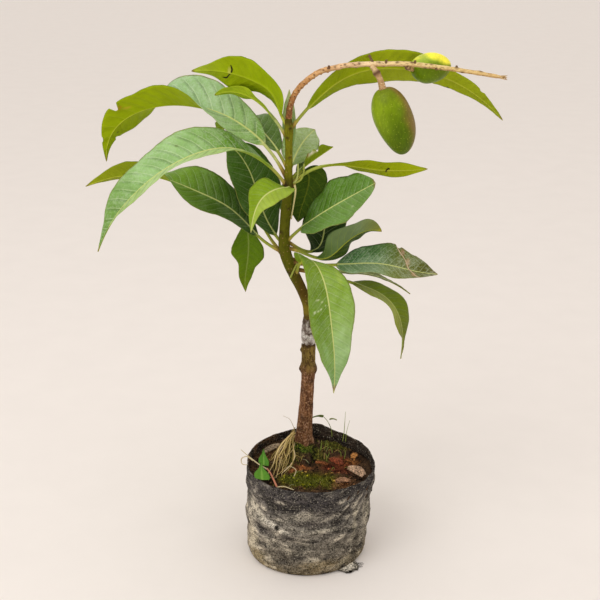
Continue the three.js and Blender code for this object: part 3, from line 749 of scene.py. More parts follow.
def build_bag_corner(finish):
    """A frayed corner of the cloth that lies on the ground beside the foot."""
    steps, columns = 14, 18
    rows, tints = [], []
    for t in shares(steps):
        row = []
        for s in shares(columns):
            reach = CORNER["reach"] * t * (0.75 + 0.3 * grain(s * 20, 0, 0, 4, 21))
            rise = CORNER["height"] * (1 - t) ** 3 * sin(pi * s)
            rise += 0.5 * t * (1 + grain(s * 30, t * 9, 0, 5, 22))
            out = CORNER["out"] + reach * sin(pi * (0.1 + 0.82 * s))
            angle = radians(lerp(CORNER["from"], CORNER["to"], s))
            row.append(polar(angle, out, CORNER["lift"] + rise))
        rows.append(row)
        i = len(rows) - 1
        for j in (*range(columns + 1), *range(columns + 1)):
            frayed = i > steps - 2 or j in (0, columns) or grain(i, j, 0, 3, 23) > 0.3
            tints.append(tone(*(FRAYED_DARK if frayed else FRAYED_PALE)))
    skin = Skin()
    skin.loft(sheet(rows, 0.6), tint=tints)
    chance = random.Random(SEEDS["corner"])
    for _ in range(FRAYED_THREADS):
        angle = radians(chance.uniform(305, 325))
        points = [polar(angle, 62 + chance.uniform(0, 5), 1.0)]
        for _ in range(3):
            step = chance.uniform(0, 3.4), chance.uniform(-2.4, 2.2), chance.uniform(-0.2, 0.4)
            points.append(points[-1] + Vector(step))
            points[-1].z = max(0.5, points[-1].z)
        skin.strand(points, (0.3, 0.16), sides=5, steps=8, tint=tone(74, 68, 60))
    skin.piece("bag_corner", [finish], "bag")


# ---------------------------------------------------------------- soil and what lies on it

# soft patches on the soil: x, y, reach x and y, slope, colour, cover
SOIL_PATCHES = (
    (2, -26, 27, 14, 0.05, (96, 100, 14), 0.95), (-14, -26, 12, 9, 0, (104, 106, 22), 0.8),
    (24, -32, 9, 6, 0, (112, 108, 44), 0.7), (-3, 24, 14, 8, 0, (62, 84, 20), 0.85),
    (14, 12, 9, 14, 0, (84, 86, 30), 0.6), (30, 40, 16, 9, 0, (78, 78, 26), 0.7),
    (-8, -5, 17, 4.5, 0.12, (136, 84, 48), 0.95), (30, -2, 16, 11, 0, (112, 56, 36), 0.9),
    (40, 12, 12, 9, 0, (128, 70, 40), 0.8), (49, 14, 6, 7, 0, (150, 98, 52), 0.8),
    (36, -32, 12, 9, 0, (138, 96, 62), 0.8), (-32, 26, 16, 12, 0, (108, 78, 50), 0.75),
    (-26, 4, 14, 12, 0, (92, 78, 40), 0.6), (-42, -18, 9, 20, 0, (30, 24, 18), 0.8),
    (8, 52, 30, 9, 0, (34, 26, 20), 0.8), (8, 12, 3, 14, 0.1, (22, 16, 12), 0.9),
    (56, 30, 9, 14, 0, (40, 28, 20), 0.6), (-12, 12, 9, 7, 0, (84, 78, 36), 0.6),
)
SOIL_COLOURS = ((46, 34, 24), (86, 62, 42))
SOIL_SPAN = ((-58, 62), (-60, 60))
SOIL_REACH = 57
TRUNK_ROOM = 11
CRUMBS = 1700
CRUMB_CORNERS = ((1, 0, 0), (0, 1, 0), (-1, 0, 0), (0, -1, 0), (0, 0, 1), (0, 0, -1))
CRUMB_FACES = (
    (0, 1, 4), (1, 2, 4), (2, 3, 4), (3, 0, 4), (1, 0, 5), (2, 1, 5), (3, 2, 5), (0, 3, 5),
)
# beds of moss: x, y, reach x and y, and how many shoots
MOSS_BEDS = (
    (1, -27, 27, 13, 1200), (-2, 24, 13, 5, 160), (28, 38, 16, 8, 200), (-14, -24, 11, 8, 220),
    (10, 14, 7, 12, 110), (-14, 6, 10, 8, 90),
)
MOSS_COLOURS = ((38, 44, 4), (76, 82, 12), (104, 108, 24), (176, 170, 84))
ROOTLETS = 22
ROOTLET_COLOURS = ((120, 104, 50), (204, 178, 112), (238, 212, 162))
LOOSE_STRAWS = 26
# flakes of bark: the two ends, width, lift and colour
CHIPS = (
    ((43.5, -13, 97.5), (58, -27, 95.5), 13, 2.6, (168, 138, 112)),
    ((29, -37, 94.5), (44, -34, 94), 9, 1.8, (150, 112, 84)),
    ((-44, 19, 98.5), (-27, 33, 100.5), 9, 0.8, (136, 118, 96)),
    ((25, 3, 98.5), (37, -9, 98), 9, 2.2, (120, 60, 38)),
    ((48, 9, 96), (52, 20, 96), 7, 1.6, (160, 108, 58)),
    ((10, -4, 98.5), (22, -8, 98), 5, 1.4, (128, 76, 44)),
)
# leaflets of the weeds: apex, left, right and colour
LEAFLETS = (
    ((-43.3, 7.6, 107), (-47.7, -13, 101), (-37, -19, 101), (70, 122, 26)),
    ((-45.3, -17, 103.5), (-51, -39, 98.5), (-35.4, -43, 98.5), (80, 130, 30)),
    ((6, 46, 124), (19, 46, 126.5), (18, 50, 122), (120, 140, 70)),
    ((33, 53, 118), (25, 50, 120.5), (25, 52, 118.5), (150, 160, 100)),
)
LEAFLET_VEIN = (190, 210, 120)
PINK, STRAW, GREEN = (186, 120, 92), (196, 180, 140), (128, 140, 62)
# stems and tendrils of the weeds: the way each one runs, radii, sides, steps and colour
TENDRILS = (
    (((-38.9, -20.7, 100), (-35, -31, 99.5), (-28.5, -49.7, 95)), (0.8, 1.0), 8, 12, PINK),
    (((-28.5, -49.7, 95), (-22, -52, 97), (-12, -57, 96)), (0.7, 0.5), 6, 10, STRAW),
    (((-66.3, 6.9, 107), (-57.3, -3.2, 104), (-46.6, -16.2, 102), (-39, -22, 100)),
     (0.35, 0.6, 0.8), 6, 16, STRAW),
    (((-53, -8, 102), (-60.4, -3.2, 104.5), (-65.5, -2.5, 101.5), (-64.5, -7, 98), (-59.1, -9, 98)),
     (0.6, 0.4), 6, 16, STRAW),
    (((-12, -28, 95), (-10, -24, 100), (-17, -18, 101), (-22, -22, 98)), (0.45, 0.3), 6, 14, STRAW),
    (((28, 52, 99), (27, 53, 108), (23, 51, 118), (19, 49, 124)), (0.4, 0.3), 6, 14, GREEN),
    (((39, 44, 98), (40.5, 50, 104), (41.5, 57, 113), (42.4, 62, 124)), (0.4, 0.35, 0.15), 6, 14,
     GREEN),
    (((42, 43, 98), (43, 50, 104), (45, 56, 110), (47, 58, 116)), (0.35, 0.15), 6, 14, GREEN),
    (((-10, 50, 101), (-12.6, 56, 108), (-17, 60, 116), (-24.1, 60, 120)), (0.35, 0.15), 6, 14,
     (170, 150, 110)),
)
GRASS_BLADES = 9


def from_trunk(x, y):
    return hypot(x - TRUNK[0][1], y - TRUNK_BASE_Y)


def soil_height(x, y):
    """The height of the solid's soil, mounded towards the trunk."""
    fall = clamp((from_trunk(x, y) - SOIL["seat"]) / SOIL["reach"])
    lumps = sin(x / 6.3) * cos(y / 5.1) + sin((x + y) / 9)
    return lerp(SOIL["mound"], SOIL["edge"], sin(fall * pi / 2)) + 1.1 * lumps * min(1, 3 * fall)


def ground(x, y):
    """The height of the crumbly surface."""
    rough = 2.1 * grain(x, y, 0, 11, 31) + 1.3 * grain(x, y, 0, 5, 32)
    rough += 0.8 * grain(x, y, 0, 2.2, 33)
    groove = 3.2 * bell(x - 0.12 * (y - 10), 7.5, 2.4) * ease(y, -8, 4) * (1 - ease(y, 22, 30))
    return soil_height(x, y) + rough - groove - 1.4 * ease(y, 42, 60)


def on_ground(x, y, lift=0.0):
    return Vector((x, y, ground(x, y) + lift))


def soil_tint(x, y):
    colour = between(SOIL_COLOURS, 0.5 + 0.5 * grain(x, y, 0, 9, 34))
    across, back = 4 * grain(x, y, 0, 7, 35), 4 * grain(x, y, 3, 7, 36)
    return painted(colour, SOIL_PATCHES, x + across, y + back)


def build_soil(finish):
    """The soil's surface with a skirt that goes down inside the bag."""
    sides, rings = 240, 96
    edge = []
    for j in range(sides):
        angle = 360 * j / sides
        edge.append(bag_point(angle, SOIL["edge"] / rim_height(angle), 1.0, 1.0))
    rows = [[Vector((p.x * 0.97, p.y * 0.97, SOIL["skirt"])) for p in edge]]
    centre = Vector((TRUNK[0][1], TRUNK_BASE_Y, 0))
    for t in shares(rings):
        places = [point.lerp(centre, 0.985 * t) for point in edge]
        rows.append([on_ground(place.x, place.y) for place in places])
    skin = Skin()
    skin.loft(rows, tint=[tone(*soil_tint(p.x, p.y)) for row in rows for p in row])
    skin.piece("soil_surface", [finish], "soil", ["soil"])


def on_soil(chance, reach=SOIL_REACH):
    """A chance place on the soil, away from the trunk and the bag's wall."""
    while True:
        x, y = (chance.uniform(*span) for span in SOIL_SPAN)
        if hypot(x - 4, y) < reach and from_trunk(x, y) > TRUNK_ROOM:
            return x, y


def build_crumbs(finish):
    """Loose crumbs of soil and peat."""
    chance = random.Random(SEEDS["crumbs"])
    skin = Skin()
    for _ in range(CRUMBS):
        x, y = on_soil(chance)
        size = 0.45 + 1.7 * chance.random() ** 3
        centre = on_ground(x, y, 0.3 * size)
        turn = chance.uniform(0, pi)
        points = []
        for corner in CRUMB_CORNERS:
            p = Vector(corner) * size * chance.uniform(0.6, 1.25)
            across, back = p.x * cos(turn) - p.y * sin(turn), p.x * sin(turn) + p.y * cos(turn)
            points.append(centre + Vector((across, back, 0.7 * p.z)))
        shade = chance.uniform(0.45, 1.5) + 1.6 * chance.random() ** 9
        skin.add(points, CRUMB_FACES, tint=tone(*(shade * part for part in soil_tint(x, y))))
    skin.piece("soil_crumbs", [finish], "soil")


def build_moss(finish):
    """Cushions of moss on the soil, made of fine upright shoots."""
    chance = random.Random(SEEDS["moss"])
    skin = Skin()
    for bx, by, rx, ry, count in MOSS_BEDS:
        for _ in range(count):
            x, y = bx + rx * chance.gauss(0, 0.5), by + ry * chance.gauss(0, 0.5)
            if hypot(x - 3, y) > SOIL_REACH or from_trunk(x, y) < TRUNK_ROOM - 1:
                continue
            foot = on_ground(x, y, -0.3)
            lean = chance.uniform(-0.9, 0.9), chance.uniform(-0.9, 0.9), chance.uniform(1.1, 3.0)
            size, turn = chance.uniform(0.3, 0.6), chance.uniform(0, 2)
            base = [foot + polar(turn + corner, size, 0) for corner in (0, 2.1, 4.2)]
            tint = tone(*between(MOSS_COLOURS, chance.random()))
            faces = ((0, 1, 3), (1, 2, 3), (2, 0, 3), (2, 1, 0))
            skin.add(base + [foot + Vector(lean)], faces, tint=tint)
    skin.piece("moss", [finish], "soil")


def build_straw(finish):
    """Dry rootlets that fan over the soil from the trunk's foot, and loose straws."""
    chance = random.Random(SEEDS["straw"])
    skin = Skin()
    for i, share in enumerate(shares(ROOTLETS - 1)):
        start = Vector((-11.6 + chance.uniform(-0.6, 0.8), 33 + chance.uniform(-5, 4),
                        104 + 15 * chance.random() ** 1.4))
        x = lerp(-42, -20, share) + chance.uniform(-4, 4)
        y = lerp(-4, -10, share) + chance.uniform(-14, 14) + (20 if i % 4 == 0 else 0)
        end = on_ground(x, y, 0.4)
        bow = chance.uniform(-8, 8), chance.uniform(-5, 7), chance.uniform(-3, 4)
        middle = start.lerp(end, 0.5) + Vector(bow)
        middle.z = max(middle.z, ground(middle.x, middle.y) + 0.8)
        near = start.lerp(middle, 0.5) + Vector((-1.2, 0, 1.6))
        bow = chance.uniform(-4, 4), chance.uniform(-4, 4), 0.8
        far = middle.lerp(end, 0.6) + Vector(bow)
        tint = tone(*between(ROOTLET_COLOURS, chance.random()))
        size = chance.uniform(0.26, 0.56)
        route = (start, near, middle, far, end)
        skin.strand(route, (size, size, 0.25), sides=6, steps=14, tint=tint)
    for _ in range(LOOSE_STRAWS):
        start = on_ground(*on_soil(chance, 50), 0.2)
        end = start + Vector((chance.uniform(-8, 8), chance.uniform(-8, 8), 0))
        end.z = ground(end.x, end.y) + chance.uniform(0.2, 2.5)
        middle = start.lerp(end, 0.5) + UP * chance.uniform(1, 4)
        tint = tone(chance.uniform(150, 206), chance.uniform(136, 180), chance.uniform(80, 120))
        skin.strand((start, middle, end), (0.24, 0.2), sides=5, steps=8, tint=tint)
    skin.piece("straw", [finish], "soil")


def add_chip(skin, start, end, width, lift, colour):
    """A curved flake of bark between two places on the soil."""
    start = Vector(start)
    run = Vector(end) - start
    side = Vector((-run.y, run.x, 0)).normalized()
    rows = []
    for t in shares(16):
        uneven = 1 + 0.16 * grain(t * 9, start.x, 0, 1.5, 41)
        half = width / 2 * sin(pi * (0.1 + 0.8 * t)) ** 0.6 * uneven
        centre = start + run * t + UP * lift * sin(pi * t)
        row = []
        for s in (2 * share - 1 for share in shares(8)):
            rise = lift * 0.7 * (1 - s * s) + 0.4 * grain(t * 12, s * 4, start.y, 1.6, 42)
            row.append(centre + side * half * s + UP * rise)
        rows.append(row)
    rows = sheet(rows, 1.1)
    tints = []
    for point in (point for row in rows for point in row):
        shade = 1 + 0.2 * grain(*point, 2, 43)
        tints.append(tone(*(part * shade for part in colour)))
    skin.loft(rows, tint=tints)


def build_chips(finish):
    """Flakes of bark and dead leaf on the soil."""
    skin = Skin()
    for chip in CHIPS:
        add_chip(skin, *chip)
    skin.piece("bark_chips", [finish], "soil")


def add_leaflet(skin, apex, left, right, colour):
    """A small pointed leaf over three corners."""
    columns = 8
    left, right = Vector(left), Vector(right)
    rows, tints = [], []
    for t in shares(14):
        width = max(0.02, (1 - t) ** 0.85 * (0.72 + 0.5 * sin(pi * min(1, 1.6 * t + 0.1))))
        centre = ((left + right) / 2).lerp(Vector(apex), t) + UP * 1.2 * sin(pi * t)
        row = []
        for s in (2 * share - 1 for share in shares(columns)):
            rise = 1.4 * abs(s) - 0.4 * s * s
            row.append(centre + (right - left) / 2 * s * width + UP * rise)
        rows.append(row)
        for j in range(2 * columns + 2):
            midrib = j in (columns / 2, columns * 3 / 2 + 1)
            tints.append(tone(*between((colour, LEAFLET_VEIN), 0.35 if midrib else 0)))
    skin.loft(sheet(rows, 0.35), tint=tints)


def build_weeds(finish):
    """A weed at the left of the bag, a leaflet behind the trunk, tendrils and blades of grass."""
    skin = Skin()
    for leaflet in LEAFLETS:
        add_leaflet(skin, *leaflet)
    for route, radii, sides, steps, colour in TENDRILS:
        skin.strand(route, radii, sides, steps, tint=tone(*colour))
    chance = random.Random(SEEDS["grass"])
    for _ in range(GRASS_BLADES):
        foot = on_ground(chance.uniform(12, 40), chance.uniform(6, 34))
        lean = chance.uniform(-3, 3), chance.uniform(-2, 2), chance.uniform(6, 12)
        top = foot + Vector(lean)
        bend = foot.lerp(top, 0.6) + Vector((0.8, 0, 0))
        skin.strand((foot, bend, top), (0.5, 0.4, 0.2), sides=5, steps=8, tint=tone(*GREEN))
    skin.piece("weeds", [finish], "soil")


# ---------------------------------------------------------------- trunk

MIDDLE_WHORL = 383  # height of the node that bears the middle leaves
TOP_COLLAR = 444
GRAFT_LIP = 215
GRAFT_NECK = 247
ROOT_FLARE = 1.3
FLARE_FADE = 12
# dark scars of lost leaves and cut shoots: height, angle, reach in mm, how far they stand out
SCARS = (
    (188, 200, 4.5, 1), (187, 330, 4, 0.8), (209, 190, 3, 1.5), (164, 215, 3, 0.6),
    (176, 300, 3.5, 0.5), (243, 250, 3, 0.5), (262, 300, 3, 0.5), (296, 230, 3, 0.7),
    (336, 230, 2.4, 0.5), (360, 300, 1.8, 0.4), (410, 282, 1.6, 0.5), (429, 250, 1.8, 0.5),
    (438, 290, 2, 0.6), (134, 250, 4, 0.5), (149, 320, 3, 0.5), (120, 230, 4, 0.6),
)
# stubs of lost leaf stalks on the trunk: the way each one runs, its radii and its colour
LEAF_STUBS = (
    (((-14, 15, 383), (-9.5, 12.5, 387), (-7.9, 12, 395), (-7.9, 12, 403)), (1.2, 0.9, 0.75),
     (172, 178, 100)),
    (((-13, 14, 384), (-6, 12.5, 387), (-2.6, 12, 394), (-2.2, 12, 403)), (1.2, 0.9, 0.8),
     (152, 160, 70)),
    (((-15, 18, 289), (-14.5, 14.5, 291.5), (-11.5, 13, 299), (-8.4, 12.5, 305)),
     (1.1, 0.9, 0.85), (152, 160, 70)),
    (((-12, 14.6, 384.5), (-10.3, 14, 378), (-12.1, 15, 363), (-14.6, 17, 348)),
     (1.1, 0.85, 0.7), (222, 208, 150)),
)


def trunk_y(z):
    return TRUNK_BASE_Y - TRUNK_LEAN * (z - TRUNK[0][0]) / (TRUNK[-1][0] - TRUNK[0][0])


TRUNK_COURSE = Course([(x, trunk_y(z), z) for z, x, _ in TRUNK])
TRUNK_RADII = [r for _, _, r in TRUNK]


def trunk_place(height):
    """The place on the trunk's course that has a given height."""
    low, high = 0.0, 1.0
    for _ in range(30):
        middle = (low + high) / 2
        if TRUNK_COURSE.at(middle).z < height:
            low = middle
        else:
            high = middle
    return low


def scar_share(z, angle, radius):
    """How far a place on the trunk lies in a scar, and how far the scar stands out there."""
    dark, out = 0.0, 0.0
    for height, turn, reach, stand in SCARS:
        if abs(z - height) < 2.5 * reach:
            near = bell(z, height, 0.7 * reach) * bell(turned(angle, turn, radius), 0, reach)
            dark = max(dark, near)
            out += stand * near
    return dark, out


def bark_out(z, angle, radius):
    """How far the bark stands out from the round of the trunk."""
    x, y, _ = polar(angle, radius, z)
    old = 1 - ease(z, 236, 250)
    fissures = 0.34 * grain(x, y, z * 0.24, 1.9, 51) + 0.26 * grain(x, y, z * 0.5, 4.5, 52)
    ribs = 0.35 * old * (1 - ease(z, 150, 210)) * sin(5 * angle + 0.03 * z)
    rings = 0.16 * grain(0, 0, z, 2.4, 53) * old
    return fissures * (0.35 + 0.65 * old) + ribs + rings


def trunk_surface(t, angle):
    """The bark's radius at a place on the course and an angle, and how dark a scar makes it."""
    z = TRUNK_COURSE.at(t).z
    radius = spline(TRUNK_RADII, t)
    flare = ROOT_FLARE * exp(-(z - TRUNK[0][0]) / FLARE_FADE) * cos(5 * angle)
    dark, out = scar_share(z, angle, radius)
    collar = bell(z, MIDDLE_WHORL, 4.5) * (0.6 + 0.3 * cos(3 * angle))
    collar += 0.7 * bell(z, TOP_COLLAR, 4) + 0.6 * bell(z, GRAFT_NECK, 2.5)
    collar += 0.85 * bell(z, WRAP[0], 1.8 + 0.6 * sin(2 * angle))
    lip = 0.9 * bell(z, GRAFT_LIP, 2.4)
    return radius + flare + bark_out(z, angle, radius) + out + lip, clamp(max(0.8 * dark, collar))


def build_trunk(look):
    """The bark of the trunk, from just under the soil to the tip."""
    sides, steps, buried_rings, buried_step = 84, 420, 3, 1.4
    rows, scars = [], []
    for i in range(-buried_rings, steps + 1):
        t = max(0.0, i / steps)
        centre = TRUNK_COURSE.at(t) + UP * buried_step * min(0, i)
        along = TRUNK_COURSE.along(t) if i > 0 else UP
        surface = [trunk_surface(t, angle) for angle in turns(sides)]
        radii = iter(radius for radius, _ in surface)
        rows.append(ring(centre, along, sides, lambda _: next(radii)))
        scars.extend((scar, scar, scar) for _, scar in surface)
    skin = Skin()
    skin.loft(rows, scar=scars)
    skin.piece("trunk_bark", [bark_finish(look)], "bark", ["trunk"])


def build_wrap():
    """The lumpy sleeve of grafting wax around the union."""
    sides, steps = 72, 60
    rows = []
    for inside in (False, True):
        for share in shares(steps):
            share = 1 - share if inside else share
            row = []
            for angle in turns(sides):
                ragged = 2.2 * grain(cos(angle) * 3, sin(angle) * 3, share * 2, 1.6, 61)
                z = lerp(*WRAP, share) + ragged * (2 * share - 1) ** 2
                t = trunk_place(z)
                x, y, _ = polar(angle, 6, z)
                lump = 0.75 * grain(x, y, z, 4.5, 62) + 0.4 * grain(x, y, z, 2, 63)
                thick = (1.25 + lump) * (1 - (2 * share - 1) ** 6) + 0.25
                out = -0.4 if inside else max(0.2, thick + 0.55 * bell(z, 226, 7))
                centre = TRUNK_COURSE.at(t)
                row.append(polar(angle, spline(TRUNK_RADII, t) + out, z) + centre - UP * centre.z)
            rows.append(row)
    skin = Skin()
    skin.loft(rows)
    skin.piece("graft_wax", [wax_finish()], "wax", ["graft_wrap"])


def build_leaf_stubs(finish):
    """The pale stubs that lost leaf stalks left on the trunk."""
    skin = Skin()
    for route, radii, colour in LEAF_STUBS:
        skin.strand(route, radii, sides=12, steps=14, tint=tone(*colour))
    skin.piece("leaf_stubs", [finish], "bark")


# ---------------------------------------------------------------- fruiting stalk and mangoes

STALK_COURSE = Course([(x, STALK_Y, z) for x, z in STALK])
# places along the stalk and angles of its small round scars
STALK_SCARS = [(0.17 + 0.027 * i + 0.008 * sin(4 * i), 190 + (97 * i) % 200) for i in range(30)]
# the ways that the stubs of its lost side twigs run
STALK_STUBS = (
    ((60.5, STALK_Y, 497), (58.6, 10, 500.5), (56.6, 9.5, 504.4)),
    ((92, STALK_Y, 495), (90, 9, 492)), ((72, 9, 497), (72.6, 8.5, 500)),
    ((98, 9, 497), (99, 8.6, 499.4)), ((20, 8, 492), (20.4, 7.6, 495)),
    ((136, 10, 492), (137, 9.6, 494.6)), ((118, 9, 493), (118.6, 8.6, 490.6)),
)
STALK_FIBRES = 9
# skins from the stalk end to the tip
FRONT_SKIN = ((108, 122, 24), (114, 138, 4), (88, 112, 0), (76, 100, 0), (80, 100, 4))
BACK_SKIN = ((104, 134, 10), (98, 124, 2), (92, 112, 2), (128, 134, 20))


def stalk_surface(t, angle):
    """The stalk's radius at a place and an angle, and how dark a scar makes it."""
    size = spline(STALK_RADIUS, t) * (1 - 0.35 * ease(t, 0.985, 1))
    out, scar = 0.0, 0.0
    for place, turn in STALK_SCARS:
        near = bell((t - place) * STALK_LENGTH, 0, 1.6) * bell(turned(angle, turn, size), 0, 1.3)
        out += 0.7 * near
        scar = max(scar, near**2)
    lump = 0.16 * grain(70 * t, cos(angle), sin(angle), 1.1, 73)
    node = 0.25 * max(0, sin(2 * pi * 15 * t)) ** 6
    return size + out + lump + node, scar


def build_stalk():
    """The arching fruiting stalk with the scars and stubs of its lost side twigs."""
    sides, steps = 28, 420
    rows, scars = [], []
    for t in shares(steps):
        sway = 0.5 * grain(40 * t, 0, 0, 4, 71), 0.5 * grain(40 * t, 9, 0, 3, 72)
        centre = STALK_COURSE.at(t) + Vector((0, *sway)) * ease(t, 0, 0.1)
        surface = [stalk_surface(t, angle) for angle in turns(sides)]
        radii = iter(radius for radius, _ in surface)
        rows.append(ring(centre, STALK_COURSE.along(t), sides, lambda _: next(radii)))
        for angle, (_, scar) in zip(turns(sides), surface):
            # the second part is painted shade, for how far the stalk's skin faces down
            scars.append((scar * 0.9, max(0, cos(angle)), 0))
    skin = Skin()
    skin.loft(rows, scar=scars)
    for stub in STALK_STUBS:
        skin.strand(stub, (1.5, 1.15, 1.0), sides=10, steps=10, scar=(0.85, 0, 0))
    chance = random.Random(SEEDS["fibres"])
    for _ in range(STALK_FIBRES):
        start = Vector((177.5, STALK_Y + chance.uniform(-1, 1), 484.2 + chance.uniform(-1, 1)))
        reach = chance.uniform(2.5, 6), chance.uniform(-2, 2), chance.uniform(-2.2, 2)
        end = start + Vector(reach)
        scar = (chance.uniform(0, 0.4), 0, 0)
        route = (start, start.lerp(end, 0.5), end)
        skin.strand(route, (0.6, 0.3), sides=6, steps=6, scar=scar)
    nodes = ["fruiting_stalk_foot", "fruiting_stalk_arm"]
    skin.piece("fruiting_stalk", [stalk_finish()], "stalk", nodes)


def mango_tint(name, share, out, up):
    """The skin's colour from the stalk end to the tip: green, with blush or yellow on one side and
    a painted highlight towards the light.
    """
    if name == "mango_front":
        blush = ease(-out + 0.3 * grain(out, share * 6, up, 1.1, 81), 0.3, 0.95)
        colour = between((between(FRONT_SKIN, share), (132, 100, 58)), 0.82 * blush)
        # painted highlight: a paler green patch on the front fruit's left front side, towards the
        # light
        pale = ease(out - 0.35 * up, 0.4, 1.1) * bell(share, 0.42, 0.4)
        colour = between((colour, (158, 182, 50)), 0.6 * pale)
        return between(((146, 116, 84), colour), ease(share, 0.008, 0.026))
    # painted highlight: the back fruit is paler green on its upper side, towards the light
    light = ease(-out, 0.1, 0.85)
    colour = between((between(BACK_SKIN, share), (178, 200, 84)), 0.8 * light)
    ripe = -1.2 * out + 1.6 * (share - 0.5) + 0.3 * grain(out, share * 5, up, 1, 82)
    colour = between((colour, (255, 244, 70)), 0.97 * ease(ripe, 0.45, 1.05))
    return between((colour, (150, 148, 30)), 0.7 * ease(share, 0.9, 0.98))


def add_mango(skin, name, fruit):
    """The fruit's skin, along its axis, with a dimple at the stalk end."""
    sides, steps = 96, 96
    axis = way(radians(fruit["heading"]), radians(fruit["climb"]))
    level = Vector((0, 1, 0)).cross(axis).normalized()
    other = axis.cross(level)
    shoulder = Vector(fruit["shoulder"])
    rows, tints = [], []
    for t in shares(steps):
        turn = pi * (0.004 + 0.992 * t)
        share = (1 - cos(turn)) / 2
        radius = fruit["radius"] * sin(turn) * (1 + 0.1 * cos(turn))
        dimple = 1.6 * bell(turn, 0, 0.3)
        bend = -fruit["bend"] * fruit["radius"] * (sin(pi * share) + 1.2 * ease(share, 0.4, 1))
        centre = shoulder + axis * (share * fruit["length"] + dimple) + level * bend
        row = []
        for angle in turns(sides):
            out, up = cos(angle), sin(angle)
            lump = 0.008 * grain(out * 2, up * 2, share * 4, 1, 83)
            belly = 1 + 0.03 * out * sin(2 * pi * share) + lump
            row.append(centre + (level * out + other * up * 0.95) * radius * belly)
            tints.append(tone(*mango_tint(name, share, out, up)))
        rows.append(row)
    skin.loft(rows, 0, tint=tints, scar=(0, 0, 0))


def add_twig(skin, route, radii):
    """The twig of a mango, with a knob and a corky collar where it meets the fruit."""
    sides, steps = 18, 30
    course = Course(route)
    rings, scars = [], []
    for t in shares(steps):
        knob = bell(t, 0.36, 0.1)
        size = lerp(*radii, t**2.2) + knob + 0.5 * (1 - ease(t, 0.05, 0.2)) + 0.5 * ease(t, 0.86, 1)
        around = ring(course.at(t), course.along(t), sides,
                      lambda angle: size * (1 + 0.08 * sin(5 * angle + 9 * t)))
        rings.append(around)
        scars.extend([(0.85 * knob, 0.5 + 0.45 * ease(t, 0.3, 0.5), 0)] * sides)
    skin.loft(rings, 1, tint=tone(150, 120, 80), scar=scars)


def build_mango(name, fruit, look):
    """A young mango on its twig."""
    skin = Skin()
    add_mango(skin, name, fruit)
    add_twig(skin, fruit["twig"], fruit["twig_radius"])
    skin.piece(name + "_skin", [fruit_finish(look), stalk_finish()], "fruit", [name])


# ---------------------------------------------------------------- leaves

